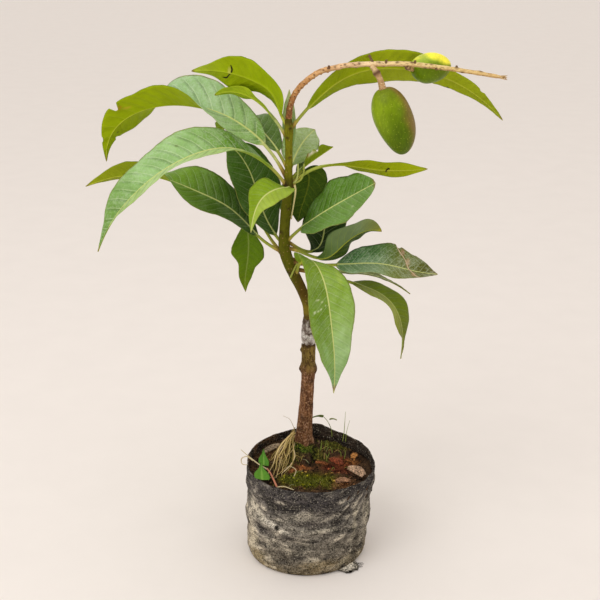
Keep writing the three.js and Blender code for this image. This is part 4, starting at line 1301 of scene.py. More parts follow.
# Each leaf springs from the trunk at a height. Heading, climb, roll and fold are given in degrees
# at even steps from the foot of the stalk to the tip. "blunt" and "tail" shape the outline. Then
# come how far apart and how bold its side veins are, its bloom with painted sheen, and its colours
# from base to tip on both sides and on one flank, which paints light and shade on that half. Bites
# out of its edge are (place, side, depth, reach), painted marks (place, side, reach along and
# across in mm, slope, colour, cover), and ridges of torn or dried tissue (face, route as places and
# sides, radii, colour).
LEAVES = {
    "leaf_top_left": dict(
        at=437, stalk=13, blade=103, width=40, heading=(170, 169, 171, 175),
        climb=(54, 72, 30, 16, 4, -7), roll=(10, 34, 54, 60, 60), fold=(8, 8), blunt=0.45,
        tail=(0.66, 0.5), bold=0.35, rib=0.35, stem=(176, 184, 70),
        upper=((128, 152, 30), (150, 172, 90)),
        under=((150, 170, 30), (150, 172, 8), (148, 168, 8), (160, 178, 60)),
        marks=((0.655, 0.1, 1.6, 4.5, 0, (196, 190, 120), 0.7),),
        ridges=((-1,
                 ((0.642, 0.46), (0.63, 0.3), (0.634, 0.08), (0.655, -0.15), (0.683, -0.4),
                  (0.72, -0.5)), (0.35, 0.75, 0.7, 0.5, 0.75, 0.4), (30, 28, 12)),),
    ),
    "leaf_top_left_small": dict(
        at=426, stalk=23, blade=69, width=24, heading=(150, 159, 164), climb=(49, 50, 32, 7, -25),
        roll=(10, 48), fold=(8, 8), blunt=0.45, tail=(0.6, 0.3), spacing=7, bold=0.3,
        stem=(176, 184, 110), upper=((168, 184, 110), (120, 148, 30)),
        under=((172, 188, 84), (168, 188, 36), (170, 192, 42)),
    ),
    "leaf_top_right": dict(
        at=434, stalk=27, blade=233, width=39, split=True, heading=(20, 20, 20, 19),
        climb=(50, 36, 3, -13, -31, -46), roll=(-50, -58, -50, -40), fold=(8, 8), blunt=0.55,
        tail=(0.5, 0.4), spacing=9, bold=0.45, upper=((108, 140, 20), (116, 148, 24)),
        under=((130, 150, 6), (150, 166, 16), (164, 178, 26), (154, 168, 24), (146, 160, 30)),
        bites=((0.62, 1, 0.1, 0.012), (0.83, -1, 0.2, 0.012)),
        marks=((0.092, -0.7, 1.6, 1.6, 0, (30, 34, 10), 1),
               (0.05, -0.9, 1.4, 1.2, 0, (50, 50, 14), 0.9),
               (0.617, 0.7, 2.2, 1.2, 0.5, (60, 60, 20), 0.9),
               (0.3, -0.75, 2.4, 1.4, 0, (96, 90, 20), 0.8),
               (0.7, 0.5, 1.3, 1.1, 0, (60, 60, 16), 0.9)),
    ),
    # painted sheen: the pale bluish-green upper colours stand in for the whitish sheen of the light
    # on the wax
    "leaf_mid_left_broad": dict(
        at=385, stalk=42, blade=199, width=58, split=True, heading=(163, 160, 162, 170, 178, 182),
        climb=(64, 41, 17, -4, -35, -90), roll=(0, -30, -36, -34, -26, -14, -4, 28, 52, 60, 60),
        fold=(16, 16, 18, 24, 36, 48, 48, 22, 14, 12, 10), tail=(0.78, 0.5), spacing=12, bold=0.9,
        bloom_and_sheen=0.34, stem=(190, 196, 120),
        upper=((112, 152, 60), (150, 182, 122), (148, 182, 126), (144, 176, 120), (136, 164, 100)),
        under=((140, 166, 8), (150, 172, 12), (154, 174, 8), (140, 158, 4)),
        bites=((0.755, 1, 0.34, 0.014), (0.87, -1, 0.25, 0.01), (0.9, 1, 0.2, 0.01)),
        marks=((0.775, 0.9, 3.4, 4, 0, (178, 196, 150), 0.95),
               (0.742, 0.5, 2.6, 2, 0, (170, 130, 30), 0.9),
               (0.715, 0.35, 4, 1, 0.2, (190, 160, 60), 0.8),
               (0.84, -0.2, 0.9, 0.9, 0, (70, 60, 20), 0.9),
               (0.9, 0.2, 0.8, 0.8, 0, (60, 50, 20), 0.9)),
    ),
    # painted sheen: the pale bluish-green upper colours stand in for the whitish sheen of the light
    # on the wax
    "leaf_mid_left_long": dict(
        at=379, stalk=26, blade=212, width=50, split=True, heading=(208, 206, 204, 202),
        climb=(56, 32, -6, -28, -46, -67), roll=(0, -20, -20, -10), fold=(30, 30), tail=(0.75, 0.4),
        spacing=10.5, bold=0.7, bloom_and_sheen=0.26, stem=(176, 176, 80),
        upper=((72, 112, 12), (76, 116, 20), (144, 182, 112), (140, 178, 110), (116, 154, 76),
               (96, 136, 46)), under=((112, 144, 40), (112, 144, 40)),
        flank_light_and_shade=(1,
               ((140, 172, 50), (168, 194, 112), (176, 200, 130), (162, 188, 108), (128, 162, 76)),
               0.85),
        marks=((0.22, -0.9, 2.4, 1.4, 0, (190, 176, 90), 0.8),
               (0.45, -0.55, 1.2, 1.2, 0, (70, 70, 30), 0.6)),
    ),
    "leaf_mid_front": dict(
        at=380, stalk=8, blade=80, width=31, heading=(280, 240, 226, 238, 246),
        climb=(10, 10, -15, -50, -76), roll=(0, -30, -20), tail=(0.55, 0.5), spacing=6, bold=0.12,
        bloom_and_sheen=0.04, upper=((112, 140, 12), (124, 152, 22), (120, 148, 20)),
        flank_light_and_shade=(1, ((140, 166, 44), (154, 174, 60), (154, 178, 72)), 0.9),
    ),
    "leaf_mid_right_folded": dict(
        at=384, stalk=12, blade=46, width=26, heading=(27, 30, 30), climb=(48, 27, 24),
        roll=(0, -55), fold=(32, 32), spacing=6, bold=0.25, upper=((104, 128, 20), (116, 138, 24)),
        under=((116, 138, 14), (134, 152, 20)),
        bites=((0.44, -1, 0.25, 0.04), (0.6, -1, 0.35, 0.04)),
        marks=((0.44, -0.75, 4.5, 3, 0, (222, 216, 196), 0.95),
               (0.58, -0.66, 3, 2, 0, (206, 200, 170), 0.9),
               (0.34, -0.9, 2.4, 2.4, 0, (120, 90, 50), 0.7)),
    ),
    "leaf_mid_right_narrow": dict(
        at=375, stalk=41, blade=103, width=22, heading=(-5, 4, 5, 5), climb=(60, 20, -10, -3, 4),
        roll=(0, -15, -50, -80), fold=(8, 8), blunt=0.6, spacing=6, bold=0.3, stem=(160, 170, 70),
        upper=((150, 164, 60), (158, 174, 50)),
        under=((164, 176, 60), (150, 164, 14), (150, 164, 8), (158, 170, 8)),
        marks=((0.63, 0.05, 2, 2, 0, (180, 170, 90), 0.6),),
        ridges=((-1, ((0.625, 0.3), (0.615, 0.05), (0.64, -0.2), (0.65, 0.1)), (0.3, 0.6, 0.6, 0.3),
                 (40, 34, 12)),),
    ),
    "leaf_mid_back": dict(
        at=391, stalk=12, blade=50, width=36, heading=(69, 60, 50), climb=(48, 37, 20),
        roll=(0, 36), spacing=7, bold=0.2, bloom_and_sheen=0.35, upper=((128, 154, 82), (152, 172, 108)),
    ),
    "leaf_mid_back_erect": dict(
        at=402, stalk=10, blade=60, width=13, heading=(84, 92, 84), climb=(70, 78, 80),
        fold=(10, 10), spacing=7, bold=0.1,
        upper=((110, 146, 70), (142, 168, 102), (186, 196, 142)),
        under=((110, 146, 70), (142, 168, 102), (186, 196, 142)),
    ),
    # painted sheen and shade: the pale grey-green near the foot stands in for the sheen on the
    # arching top, and the dark colours towards the tip and underneath for the shade on the hanging
    # part
    "leaf_mid_back_hanging": dict(
        at=378, stalk=25, blade=62, width=40, heading=(57, 35), climb=(22, 32, -91, -115, -101),
        roll=(0, -30, -60, -70), fold=(10, 10), bold=0.2, rib=0.25,
        upper=((104, 130, 80), (92, 120, 70), (52, 80, 24), (44, 72, 16)),
        under=((60, 86, 20), (48, 74, 16)),
    ),
    "leaf_mid_back_left": dict(
        at=396, stalk=22, blade=120, width=44, heading=(130, 126, 122), climb=(48, 26, -10, -40),
        bold=0.4, upper=((76, 106, 34), (86, 116, 46)),
    ),
    "leaf_low_left_dark": dict(
        at=313, stalk=31, blade=188, width=50, heading=(173, 173, 174, 177),
        climb=(21, 48, 25, 19, -6, -24), roll=(0, -25, -30, 40, 50), fold=(18, 18),
        tail=(0.75, 0.3), spacing=9, bold=0.4, bloom_and_sheen=0.08,
        upper=((50, 82, 14), (64, 96, 20), (112, 148, 44), (110, 146, 48), (94, 126, 34)),
        under=((112, 132, 10), (122, 142, 12), (140, 150, 24)),
        bites=((0.72, -1, 0.3, 0.014), (0.8, -1, 0.2, 0.01)),
    ),
    "leaf_low_left_back": dict(
        at=321, stalk=13, blade=109, width=50, heading=(150, 139, 139), climb=(39, 58, 69, 46, 16),
        roll=(0, -38), bold=0.3, bloom_and_sheen=0.05, upper=((48, 80, 14), (58, 92, 18), (70, 106, 30)),
        under=((60, 90, 12), (66, 96, 14)),
    ),
    "leaf_low_left_hanging": dict(
        at=304, stalk=57, blade=72, width=34, heading=(150, 150, 176, 180),
        climb=(42, 46, 42, -82, -85, -81, -96), roll=(0, -40, -85, -85), blunt=0.7,
        tail=(0.42, 0.45), spacing=7, bold=0.05, rib=0.2, bloom_and_sheen=0,
        upper=((74, 104, 0), (82, 112, 0), (84, 112, 0), (94, 112, 6)),
        under=((96, 120, 6), (96, 120, 6)),
    ),
    "leaf_low_right_broad": dict(
        at=322, stalk=25, blade=89, width=54, heading=(340, 340, 340), climb=(49, 38, 33, 32),
        roll=(0, 40, 45), fold=(8, 8), blunt=0.42, tail=(0.68, -0.14), spacing=7.6, bold=0.3,
        bloom_and_sheen=0.1, upper=((88, 126, 42), (102, 138, 62), (100, 134, 62)),
        flank_light_and_shade=(1, ((62, 100, 12), (72, 112, 20), (82, 122, 34)), 0.9),
        marks=((0.97, 0.9, 2.6, 3, 0, (120, 96, 60), 0.9),
               (0.7, -0.5, 1.2, 1, 0, (190, 200, 160), 0.7)),
    ),
    "leaf_low_back": dict(
        at=335, stalk=18, blade=116, width=44, heading=(78, 68, 60), climb=(40, 20, -12, -36),
        fold=(10, 10), bold=0.4, upper=((70, 100, 28), (80, 110, 38)),
    ),
    "leaf_low_right_dark": dict(
        at=327, stalk=32, blade=70, width=44, heading=(23, 24, 80, 78),
        climb=(-36, -22, 66, 52, 44), fold=(10, 10), bold=0.3, bloom_and_sheen=0.03,
        upper=((22, 42, 6), (30, 56, 12), (42, 68, 22)), under=((28, 46, 8), (36, 60, 14)),
    ),
    "leaf_low_right_back": dict(
        at=319, stalk=32, blade=76, width=44, heading=(350, 358, 375, 390),
        climb=(-8, -20, 42, 22, -24), roll=(0, -50, -40), bold=0.4, bloom_and_sheen=0.3,
        upper=((44, 72, 14), (48, 76, 18), (60, 88, 26)), under=((44, 72, 14), (50, 78, 18)),
        flank_light_and_shade=(-1, ((70, 100, 40), (118, 140, 92), (132, 150, 110), (150, 150, 60)), 0.9),
        marks=((0.975, 0, 3, 5, 0, (176, 166, 60), 0.9),),
    ),
    "leaf_low_right_long": dict(
        at=304, stalk=47, blade=99, width=44, heading=(351, 351, 351, 351),
        climb=(-8, 3, 5, -12, -2), roll=(0, 27, 27), fold=(20, 20), blunt=0.55, tail=(0.86, 0.6),
        spacing=6, bold=0.5, bloom_and_sheen=0.3,
        upper=((90, 126, 72), (108, 138, 92), (114, 138, 94), (108, 116, 50), (96, 98, 32),
               (92, 88, 34)),
        flank_light_and_shade=(1,
               ((60, 100, 52), (66, 112, 62), (74, 112, 60), (92, 100, 38), (84, 90, 26),
                (84, 80, 30)), 0.9), bites=((0.57, 1, 0.12, 0.02),),
        marks=((0.62, 0.75, 2.4, 3, -0.5, (150, 110, 84), 0.9),
               (0.69, 0.35, 2.2, 5, -0.5, (168, 130, 100), 0.9),
               (0.77, -0.35, 2.4, 5, -0.5, (176, 136, 104), 0.9),
               (0.82, -0.85, 3, 3, 0, (200, 176, 140), 0.9),
               (0.84, 0.2, 5, 6, 0, (84, 84, 24), 0.6), (0.96, 0, 3, 6, 0, (104, 84, 50), 0.7)),
        ridges=((1,
                 ((0.56, 0.96), (0.6, 0.7), (0.66, 0.45), (0.71, 0.1), (0.76, -0.3), (0.8, -0.7),
                  (0.83, -0.98)), (0.3, 0.55, 0.4, 0.6, 0.45, 0.6, 0.3), (206, 180, 150)),),
    ),
    "leaf_low_right_thin": dict(
        at=308, stalk=52, blade=90, width=18, heading=(24, 16, 12), climb=(-20, -23, -8, -24, -40),
        fold=(8, 8), spacing=7, bold=0.2, upper=((96, 106, 36), (98, 104, 34)),
        under=((100, 108, 30), (96, 100, 28)),
    ),
    "leaf_low_right_hanging": dict(
        at=297, stalk=60, blade=106, width=36, heading=(358, 352, 350),
        climb=(-10, -14, -23, -73, -98), roll=(0, 20), tail=(0.66, 0.75), spacing=7, bold=0.12,
        rib=0.45, bloom_and_sheen=0,
        upper=((112, 118, 36), (136, 144, 56), (138, 146, 58), (104, 112, 20), (120, 112, 60)),
        flank_light_and_shade=(1, ((96, 106, 16), (92, 110, 4), (90, 108, 4), (92, 104, 8), (116, 108, 50)), 0.9),
    ),
    "leaf_low_front": dict(
        at=288, stalk=24, blade=170, width=48, split=True, heading=(287, 299, 305),
        climb=(60, 10, -66, -80, -96), roll=(0, -30, 0, 4, 8), fold=(11, 11), tail=(0.78, 0.5),
        spacing=8.4, bold=0.34, bloom_and_sheen=0.1, stem=(150, 160, 60),
        upper=((106, 138, 20), (114, 142, 26), (98, 130, 22), (110, 142, 56), (120, 158, 104)),
        flank_light_and_shade=(1, ((104, 134, 22), (124, 152, 44), (130, 162, 68), (148, 180, 118), (124, 156, 96)),
               0.9),
        marks=((0.458, -0.5, 0.7, 2.2, 0.4, (206, 214, 180), 0.9),
               (0.508, -0.4, 0.8, 1, 0, (206, 214, 180), 0.9),
               (0.492, -0.16, 0.8, 0.8, 0, (196, 206, 176), 0.8),
               (0.52, -0.7, 1.6, 0.7, 0.5, (206, 214, 190), 0.9),
               (0.47, -0.3, 0.6, 1.2, -0.4, (206, 214, 180), 0.8),
               (0.515, -0.55, 0.6, 1.4, 0, (206, 214, 180), 0.8),
               (0.36, -0.35, 0.7, 0.9, 0, (190, 204, 160), 0.6),
               (0.62, -0.15, 0.7, 0.7, 0, (190, 204, 160), 0.6),
               (0.24, -0.6, 9, 3, 0.3, (92, 120, 14), 0.6),
               (0.45, 0.5, 10, 3, -0.4, (108, 140, 30), 0.6),
               (0.58, -0.5, 7, 4, 0.3, (84, 116, 20), 0.55),
               (0.66, 0.4, 8, 3, -0.3, (156, 188, 124), 0.5),
               (0.74, -0.4, 9, 3, 0.2, (140, 176, 118), 0.5),
               (0.82, 0.5, 6, 4, 0, (110, 146, 76), 0.6),
               (0.35, 0.7, 12, 2.4, -0.2, (150, 172, 60), 0.6),
               (0.88, -0.3, 5, 3, 0, (140, 178, 124), 0.5),
               (0.985, 0, 6, 5, 0, (132, 104, 80), 0.95)),
    ),
}
LEAF_DEFAULTS = {
    "upper": ((96, 140, 44), (104, 148, 52)), "under": ((112, 142, 24), (118, 148, 24)),
    "flank_light_and_shade": (1, ((0, 0, 0), (0, 0, 0)), 0), "stem": (150, 158, 62), "bites": (), "marks": (),
    "ridges": (), "split": False, "fold": (12, 12), "roll": (0, 0), "spacing": 8,
    "bold": 0.5, "blunt": 0.7, "tail": (0.7, 0), "bloom_and_sheen": 0.1, "rib": 1,
}
LEAF_COLUMNS = 17  # points on either side of the midrib
LEAF_STEPS = (1.6, 1.25)  # mm between rows on the stalk and on the blade
UPPER_SLOT, UNDER_SLOT, STALK_SLOT = 0, 1, 2
LEAF_PETIOLE = (2.1, 1.5)  # radius at the foot and at the blade
LEAF_FOOT = ((112, 84, 40), (176, 156, 70))
LEAF_TIP_BROWN = (122, 92, 44)
LEAF_SIDE_VEIN = (0.55, 0.011)  # how far a side vein runs ahead, by its distance and its square


def leaf_axes(leaf, place):
    """The way a leaf runs at a place, and the ways its left edge and its upper side face."""
    heading = radians(spline(leaf["heading"], place))
    along = way(heading, radians(spline(leaf["climb"], place)))
    level = Vector((-sin(heading), cos(heading), 0))
    above = along.cross(level)
    roll = radians(spline(leaf["roll"], place))
    return along, level * cos(roll) + above * sin(roll), above * cos(roll) - level * sin(roll)


def leaf_places(leaf):
    """Places along a leaf, closer on its blade than on its stalk, and where its blade starts."""
    start = leaf["stalk"] / (leaf["stalk"] + leaf["blade"])
    on_stalk = max(6, int(leaf["stalk"] / LEAF_STEPS[0]))
    on_blade = int(leaf["blade"] / LEAF_STEPS[1])
    places = [start * i / on_stalk for i in range(on_stalk)]
    return places + [start + (1 - start) * i / on_blade for i in range(on_blade + 1)], start


def leaf_half_width(leaf, u, hand):
    """Half the blade's width on one side, with its uneven margin and what has been bitten off."""
    start, narrow = leaf["tail"]
    outline = max(0.0, sin(pi * u**0.88)) ** leaf["blunt"]
    outline *= (1 - 0.35 * ease(u, 0.76, 1)) * (1 - narrow * ease(u, start, start + 0.22))
    edge = 0.02 * grain(u * 22, hand * 3, 0, 1, leaf["seed"])
    edge += 0.012 * grain(u * 60, hand * 5, 0, 1, leaf["seed"] + 1)
    half = leaf["width"] / 2 * outline * (1 + edge)
    for place, bitten, depth, reach in leaf["bites"]:
        if bitten == hand:
            half *= 1 - depth * exp(-(((u - place) / reach) ** 4))
    return half


def leaf_rise(leaf, u, t, half, fold):
    """How far a place on the blade lies above the flat: its fold, waves and quilting."""
    out = sqrt(t * t + 0.0009) - 0.03
    opening = min(1, 4 * u)
    turn = 2 * pi * 2.4 * u + (0 if t > 0 else 1.9)
    wave = 0.05 * leaf["width"] * sin(pi * u) * t * t * sin(turn)
    along, out_mm = u * leaf["blade"], abs(t) * half
    ruffle = 0.016 * leaf["width"] * opening * abs(t) ** 3
    ruffle *= grain(along, 3 * t, 0, 9, leaf["seed"] + 2)
    slope, curve = LEAF_SIDE_VEIN
    step = (along - slope * out_mm - curve * out_mm**2) / leaf["spacing"] + (0.5 if t > 0 else 0)
    swell = (0.5 - 0.5 * cos(2 * pi * step)) * sin(pi * min(1, abs(t) * 1.08)) ** 0.6
    return half * out * sin(fold) + wave + ruffle + 0.06 * leaf["spacing"] * opening * swell


def leaf_tints(leaf, u, t, half):
    """The colours of the upper side and the underside at a place on the blade."""
    along, across, seed = u * leaf["blade"], t * half, leaf["seed"]
    fleck = 0.05 * grain(along, across, 0, 16, seed + 3)
    fleck += 0.03 * grain(along, across, 0, 5, seed + 4)
    # painted light and shade: one half of the blade takes colours of its own, for how the light
    # falls on that half
    hand, flank_light_and_shade, cover = leaf["flank_light_and_shade"]
    cover *= ease(t * hand, -0.02, 0.06)
    colours = []
    for stops in (leaf["upper"], leaf["under"]):
        colour = between((between(stops, clamp(u)), between(flank_light_and_shade, clamp(u))), cover)
        colour = tuple(part * (1 + fleck) for part in colour)
        colour = painted(colour, leaf["spots"], along, across)
        colours.append(tone(*between((colour, LEAF_TIP_BROWN), 0.8 * ease(u, 0.965, 0.995))))
    return colours


def leaf_column(leaf, look, row, s):
    """The points of both sides at one column of a row, from -1 to 1, and what is painted there."""
    hand = 1 if s > 0 else -1
    t = lerp(sin(s * pi / 2), hand * abs(s) ** 1.7, min(1, 9 * row.u))
    half, lamina, rise = row.core, 0, 0
    if row.u:
        half = max(half, leaf_half_width(leaf, row.u, hand))
        lamina = look.thickness / MM / 2 * min(1, 12 * row.u) * max(0, 1 - t**6) ** 0.5
        rise = leaf_rise(leaf, row.u, t, half, row.fold)
    x = t * half
    rib = sqrt(max(0, row.core * row.core - x * x))
    base = row.centre + row.side * x * cos(row.fold) + row.upper * rise
    tints = leaf_tints(leaf, row.u, t, half)
    if row.u < 0.03:
        tints = [between((row.stem, tint), ease(row.u, 0, 0.03)) for tint in tints]
    return SimpleNamespace(
        t=t,
        top=base + row.upper * (lamina + rib * lerp(1, 0.2, min(1, 7 * row.u))),
        under=base - row.upper * (lamina + rib * lerp(1, 0.85, row.opening)),
        paint={"blade": (row.along, x, abs(t)), "tint": tints[0], "tint_under": tints[1]},
    )


def add_ridge(skin, columns, face, route, radii, colour):
    """A ridge of dried tissue over a route of places along and across a blade."""
    points = []
    for u, t in route:
        _, row = min(columns, key=lambda entry: abs(entry[0] - u))
        near = min(row, key=lambda column: abs(column.t - t))
        points.append(near.top if face > 0 else near.under)
    tint = tone(*colour)
    skin.strand(points, radii, sides=7, steps=26, slots=STALK_SLOT, tint=tint, tint_under=tint,
                blade=(0, 0, 0), habit=(0, 0, 1), film=(0, 0, 0))


def build_leaf(name, values, look, finishes):
    """One leaf, from its swollen foot to its drip tip."""
    leaf = {**LEAF_DEFAULTS, **values, "seed": 100 + 7 * list(LEAVES).index(name)}
    leaf["spots"] = [(place * leaf["blade"], side * leaf["width"] / 2, *rest)
                     for place, side, *rest in leaf["marks"]]
    places, start = leaf_places(leaf)
    length = leaf["stalk"] + leaf["blade"]
    centre = TRUNK_COURSE.at(trunk_place(leaf["at"]))
    rows, slots, columns = [], [], []
    paint = {key: [] for key in ("blade", "habit", "tint", "tint_under", "film")}
    before = 0.0
    for place in places:
        along, _, _ = leaf_axes(leaf, (before + place) / 2)
        centre = centre + along * (place - before) * length
        before = place
        _, side, upper = leaf_axes(leaf, place)
        u = clamp((place - start) / (1 - start))
        opening = min(1, 4 * u)
        swollen = ease(min(1, place / start), 0.1, 0.6)
        row = SimpleNamespace(
            u=u, centre=centre, side=side, upper=upper, opening=opening,
            along=(place - start) * length,
            core=0.25 + 1.25 * (1 - u) ** 0.8 if u else lerp(*LEAF_PETIOLE, swollen),
            fold=radians(spline(leaf["fold"], place)) * opening,
            stem=tone(*between((*LEAF_FOOT, leaf["stem"]), swollen)),
        )
        across = [leaf_column(leaf, look, row, k / LEAF_COLUMNS)
                  for k in range(-LEAF_COLUMNS, LEAF_COLUMNS + 1)]
        back = across[-2:0:-1]
        rows.append([column.under for column in across] + [column.top for column in back])
        for column in across + back:
            for key, value in column.paint.items():
                paint[key].append(value)
        paint["habit"].extend([(u, leaf["bold"], leaf["spacing"])] * len(rows[-1]))
        paint["film"].extend([(leaf["bloom_and_sheen"], leaf["rib"], 0)] * len(rows[-1]))
        columns.append((u, across))
        if place < places[-1]:
            under, top = (UNDER_SLOT, UPPER_SLOT) if u >= 0.004 else (STALK_SLOT, STALK_SLOT)
            slots.extend([under] * 2 * LEAF_COLUMNS + [top] * 2 * LEAF_COLUMNS)
    skin = Skin()
    skin.loft(rows, slots, **paint)
    for ridge in leaf["ridges"]:
        add_ridge(skin, columns, *ridge)
    nodes = [name, name + "_end"] if leaf["split"] else [name]
    skin.piece(name + "_blade", finishes, "leaf", nodes)


# ---------------------------------------------------------------- settings


class SaplingBag(bpy.types.PropertyGroup):
    wrinkle: FloatProperty(name="Wrinkles", description="Depth of the cloth's folds", default=0.001,
                           min=0, max=0.003, unit="LENGTH")
    thickness: FloatProperty(name="Thickness", description="Thickness of the cloth", default=0.0014,
                             min=0.0006, max=0.0018, unit="LENGTH")
    dust: FloatProperty(name="Dust", description="How much pale dust lies in the cloth",
                        default=0.75, min=0, max=1, subtype="FACTOR")
    fluff: FloatProperty(name="Fluff", description="How many pale fibres stand out", default=0.45,
                         min=0, max=1, subtype="FACTOR")


class SaplingTrunk(bpy.types.PropertyGroup):
    bark_relief: FloatProperty(name="Bark relief", description="Depth of the bark's cracks in mm",
                               default=1.1, min=0, max=3)
    lenticels: FloatProperty(name="Lenticels", description="How pale the bark's pores are",
                             default=0.55, min=0, max=1, subtype="FACTOR")


class SaplingFruit(bpy.types.PropertyGroup):
    dots: FloatProperty(name="Dots", description="How pale the dots of the skin are", default=0.5,
                        min=0, max=1, subtype="FACTOR")


class SaplingLeaf(bpy.types.PropertyGroup):
    thickness: FloatProperty(name="Thickness", description="Thickness of the blades",
                             default=0.0005, min=0.0002, max=0.001, unit="LENGTH")
    gloss: FloatProperty(name="Roughness", description="Roughness of the upper side", default=0.42,
                         min=0.2, max=0.9, subtype="FACTOR")
    shine: FloatProperty(name="Shine", description="How much the upper side reflects", default=0.08,
                         min=0, max=1, subtype="FACTOR")
    vein_relief: FloatProperty(name="Vein relief", description="Strength of the veins' relief",
                               default=0.9, min=0, max=2)
    vein_tone: FloatProperty(name="Vein tone", description="How pale the side veins are",
                             default=0.85, min=0, max=1, subtype="FACTOR")
    # this share also sets the painted whitish sheen on the upper sides
    bloom_and_sheen: FloatProperty(name="Bloom", description="How much of the pale bloom shows", default=1,
                         min=0, max=2)


class SaplingStage(bpy.types.PropertyGroup):
    floor: FloatVectorProperty(name="Floor", description="Colour of the floor", size=3,
                               default=(0.88, 0.825, 0.78), min=0, max=1, subtype="COLOR")
    key: FloatProperty(name="Key light", description="Power of the large soft light", default=13.5,
                       min=0, unit="POWER")
    sky: FloatProperty(name="Surroundings", description="Strength of the pale surroundings",
                       default=0.87, min=0)


# ---------------------------------------------------------------- operators


class SAPLING_OT_bag(bpy.types.Operator):
    """Builds the grow bag and its frayed corner"""

    bl_idname = "sapling.bag"
    bl_label = "Grow bag"

    def execute(self, context):
        look = context.scene.sapling_bag
        build_bag(look)
        build_bag_corner(bag_finish(look))
        return {"FINISHED"}


class SAPLING_OT_soil(bpy.types.Operator):
    """Builds the soil and its crumbs"""

    bl_idname = "sapling.soil"
    bl_label = "Soil"

    def execute(self, context):
        finish = soil_finish("damp_soil")
        build_soil(finish)
        build_crumbs(finish)
        return {"FINISHED"}


class SAPLING_OT_litter(bpy.types.Operator):
    """Builds the moss, straw, chips and weeds on the soil"""

    bl_idname = "sapling.litter"
    bl_label = "Moss, straw and weeds"

    def execute(self, context):
        build_moss(fleck_finish("moss_green", 0.8))
        build_straw(fleck_finish("dry_straw", 0.6))
        build_chips(soil_finish("bark_chip", 0.85))
        build_weeds(fleck_finish("weed_green", 0.5))
        return {"FINISHED"}


class SAPLING_OT_trunk(bpy.types.Operator):
    """Builds the trunk's bark and the graft's wax"""

    bl_idname = "sapling.trunk"
    bl_label = "Trunk and graft"

    def execute(self, context):
        build_trunk(context.scene.sapling_trunk)
        build_wrap()
        build_leaf_stubs(petiole_finish("stub_skin"))
        return {"FINISHED"}


class SAPLING_OT_fruit(bpy.types.Operator):
    """Builds the fruiting stalk and its mangoes"""

    bl_idname = "sapling.fruit"
    bl_label = "Fruiting stalk and mangoes"

    def execute(self, context):
        build_stalk()
        for name, fruit in FRUITS.items():
            build_mango(name, fruit, context.scene.sapling_fruit)
        return {"FINISHED"}


class SAPLING_OT_leaves(bpy.types.Operator):
    """Builds every leaf"""

    bl_idname = "sapling.leaves"
    bl_label = "Leaves"

    def execute(self, context):
        look = context.scene.sapling_leaf
        finishes = [leaf_upper_finish(look), leaf_under_finish(look), petiole_finish("leaf_stalk")]
        for name, values in LEAVES.items():
            build_leaf(name, values, look, finishes)
        return {"FINISHED"}


# lights of the stage: place, size, and power as a share of the key light's
LIGHTS = {"key": ((-1.0, -1.1, 1.8), 1.6, 1), "fill": ((1.6, -1.2, 1.2), 1.4, 0.15)}
LIT_POINT = (0, 0, 0.3)
SKY_COLOUR = (1.0, 0.955, 0.915, 1)
FLOOR_RADIUS = 9000
FLOOR_SIDES = 96
FLOOR_LEVELS = (-8, -0.2)
CAMERA_PLACE = (-0.006, -1.04, 0.64)
CAMERA_DIP = 19.5  # degrees below level
SENSOR = 36
FOCAL_SHARE = 1.9  # focal length over the sensor's width


def add_light(name, place, size, power):
    """A large soft light that looks at the plant."""
    lamp = bpy.data.lights.new(name, "AREA")
    lamp.shape = "DISK"
    lamp.size = size
    lamp.energy = power
    light = bpy.data.objects.new(name, lamp)
    light.location = place
    light.rotation_euler = (Vector(LIT_POINT) - Vector(place)).to_track_quat("-Z", "Y").to_euler()
    bpy.context.scene.collection.objects.link(light)


def build_floor(colour):
    """A wide plain floor."""
    skin = Skin()
    angles = turns(FLOOR_SIDES)
    skin.loft([[polar(angle, FLOOR_RADIUS, z) for angle in angles] for z in FLOOR_LEVELS])
    floor = skin.made("floor", [floor_finish(colour)])


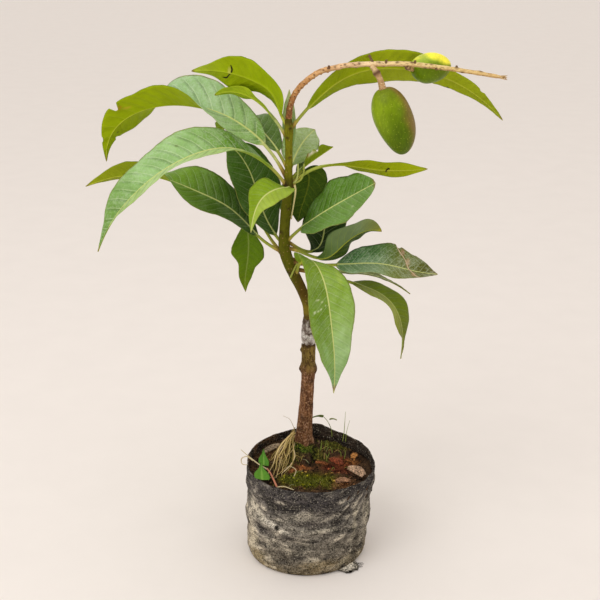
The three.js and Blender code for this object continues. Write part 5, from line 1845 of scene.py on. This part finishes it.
class SAPLING_OT_stage(bpy.types.Operator):
    """Sets up the floor, the lights and the camera"""

    bl_idname = "sapling.stage"
    bl_label = "Stage"

    def execute(self, context):
        look = context.scene.sapling_stage
        scene = context.scene
        build_floor(look.floor)
        for name, (place, size, share) in LIGHTS.items():
            add_light(name, place, size, look.key * share)
        scene.world = bpy.data.worlds.new("pale_surroundings")
        scene.world.use_nodes = True
        sky = scene.world.node_tree.nodes["Background"]
        sky.inputs["Color"].default_value = SKY_COLOUR
        sky.inputs["Strength"].default_value = look.sky
        lens = bpy.data.cameras.new("camera")
        lens.lens = SENSOR * FOCAL_SHARE
        lens.sensor_width = SENSOR
        camera = bpy.data.objects.new("camera", lens)
        camera.location = CAMERA_PLACE
        camera.rotation_euler = (radians(90 - CAMERA_DIP), 0, 0)
        scene.collection.objects.link(camera)
        scene.camera = camera
        scene.view_settings.view_transform = "Standard"
        return {"FINISHED"}


class SAPLING_PT_panel(bpy.types.Panel):
    """The sapling's sizes, colours and pieces"""

    bl_label = "Mango Sapling"
    bl_idname = "SAPLING_PT_panel"
    bl_space_type = "VIEW_3D"
    bl_region_type = "UI"
    bl_category = "Sapling"

    def draw(self, context):
        for key, group in GROUPS.items():
            box = self.layout.box()
            for field in group.__annotations__:
                box.prop(getattr(context.scene, key), field)
        for operator in OPERATORS:
            self.layout.operator(operator.bl_idname)


GROUPS = {
    "sapling_bag": SaplingBag,
    "sapling_trunk": SaplingTrunk,
    "sapling_fruit": SaplingFruit,
    "sapling_leaf": SaplingLeaf,
    "sapling_stage": SaplingStage,
}
OPERATORS = (
    SAPLING_OT_bag,
    SAPLING_OT_soil,
    SAPLING_OT_litter,
    SAPLING_OT_trunk,
    SAPLING_OT_fruit,
    SAPLING_OT_leaves,
    SAPLING_OT_stage,
)


def register():
    for group in GROUPS.values():
        bpy.utils.register_class(group)
    for key, group in GROUPS.items():
        setattr(bpy.types.Scene, key, PointerProperty(type=group))
    for operator in OPERATORS:
        bpy.utils.register_class(operator)
    bpy.utils.register_class(SAPLING_PT_panel)


def unregister():
    bpy.utils.unregister_class(SAPLING_PT_panel)
    for operator in reversed(OPERATORS):
        bpy.utils.unregister_class(operator)
    for key in GROUPS:
        delattr(bpy.types.Scene, key)
    for group in GROUPS.values():
        bpy.utils.unregister_class(group)


def main():
    register()
    bpy.ops.sapling.bag()
    bpy.ops.sapling.soil()
    bpy.ops.sapling.litter()
    bpy.ops.sapling.trunk()
    bpy.ops.sapling.fruit()
    bpy.ops.sapling.leaves()
    bpy.ops.sapling.stage()


if __name__ == "__main__":
    main()
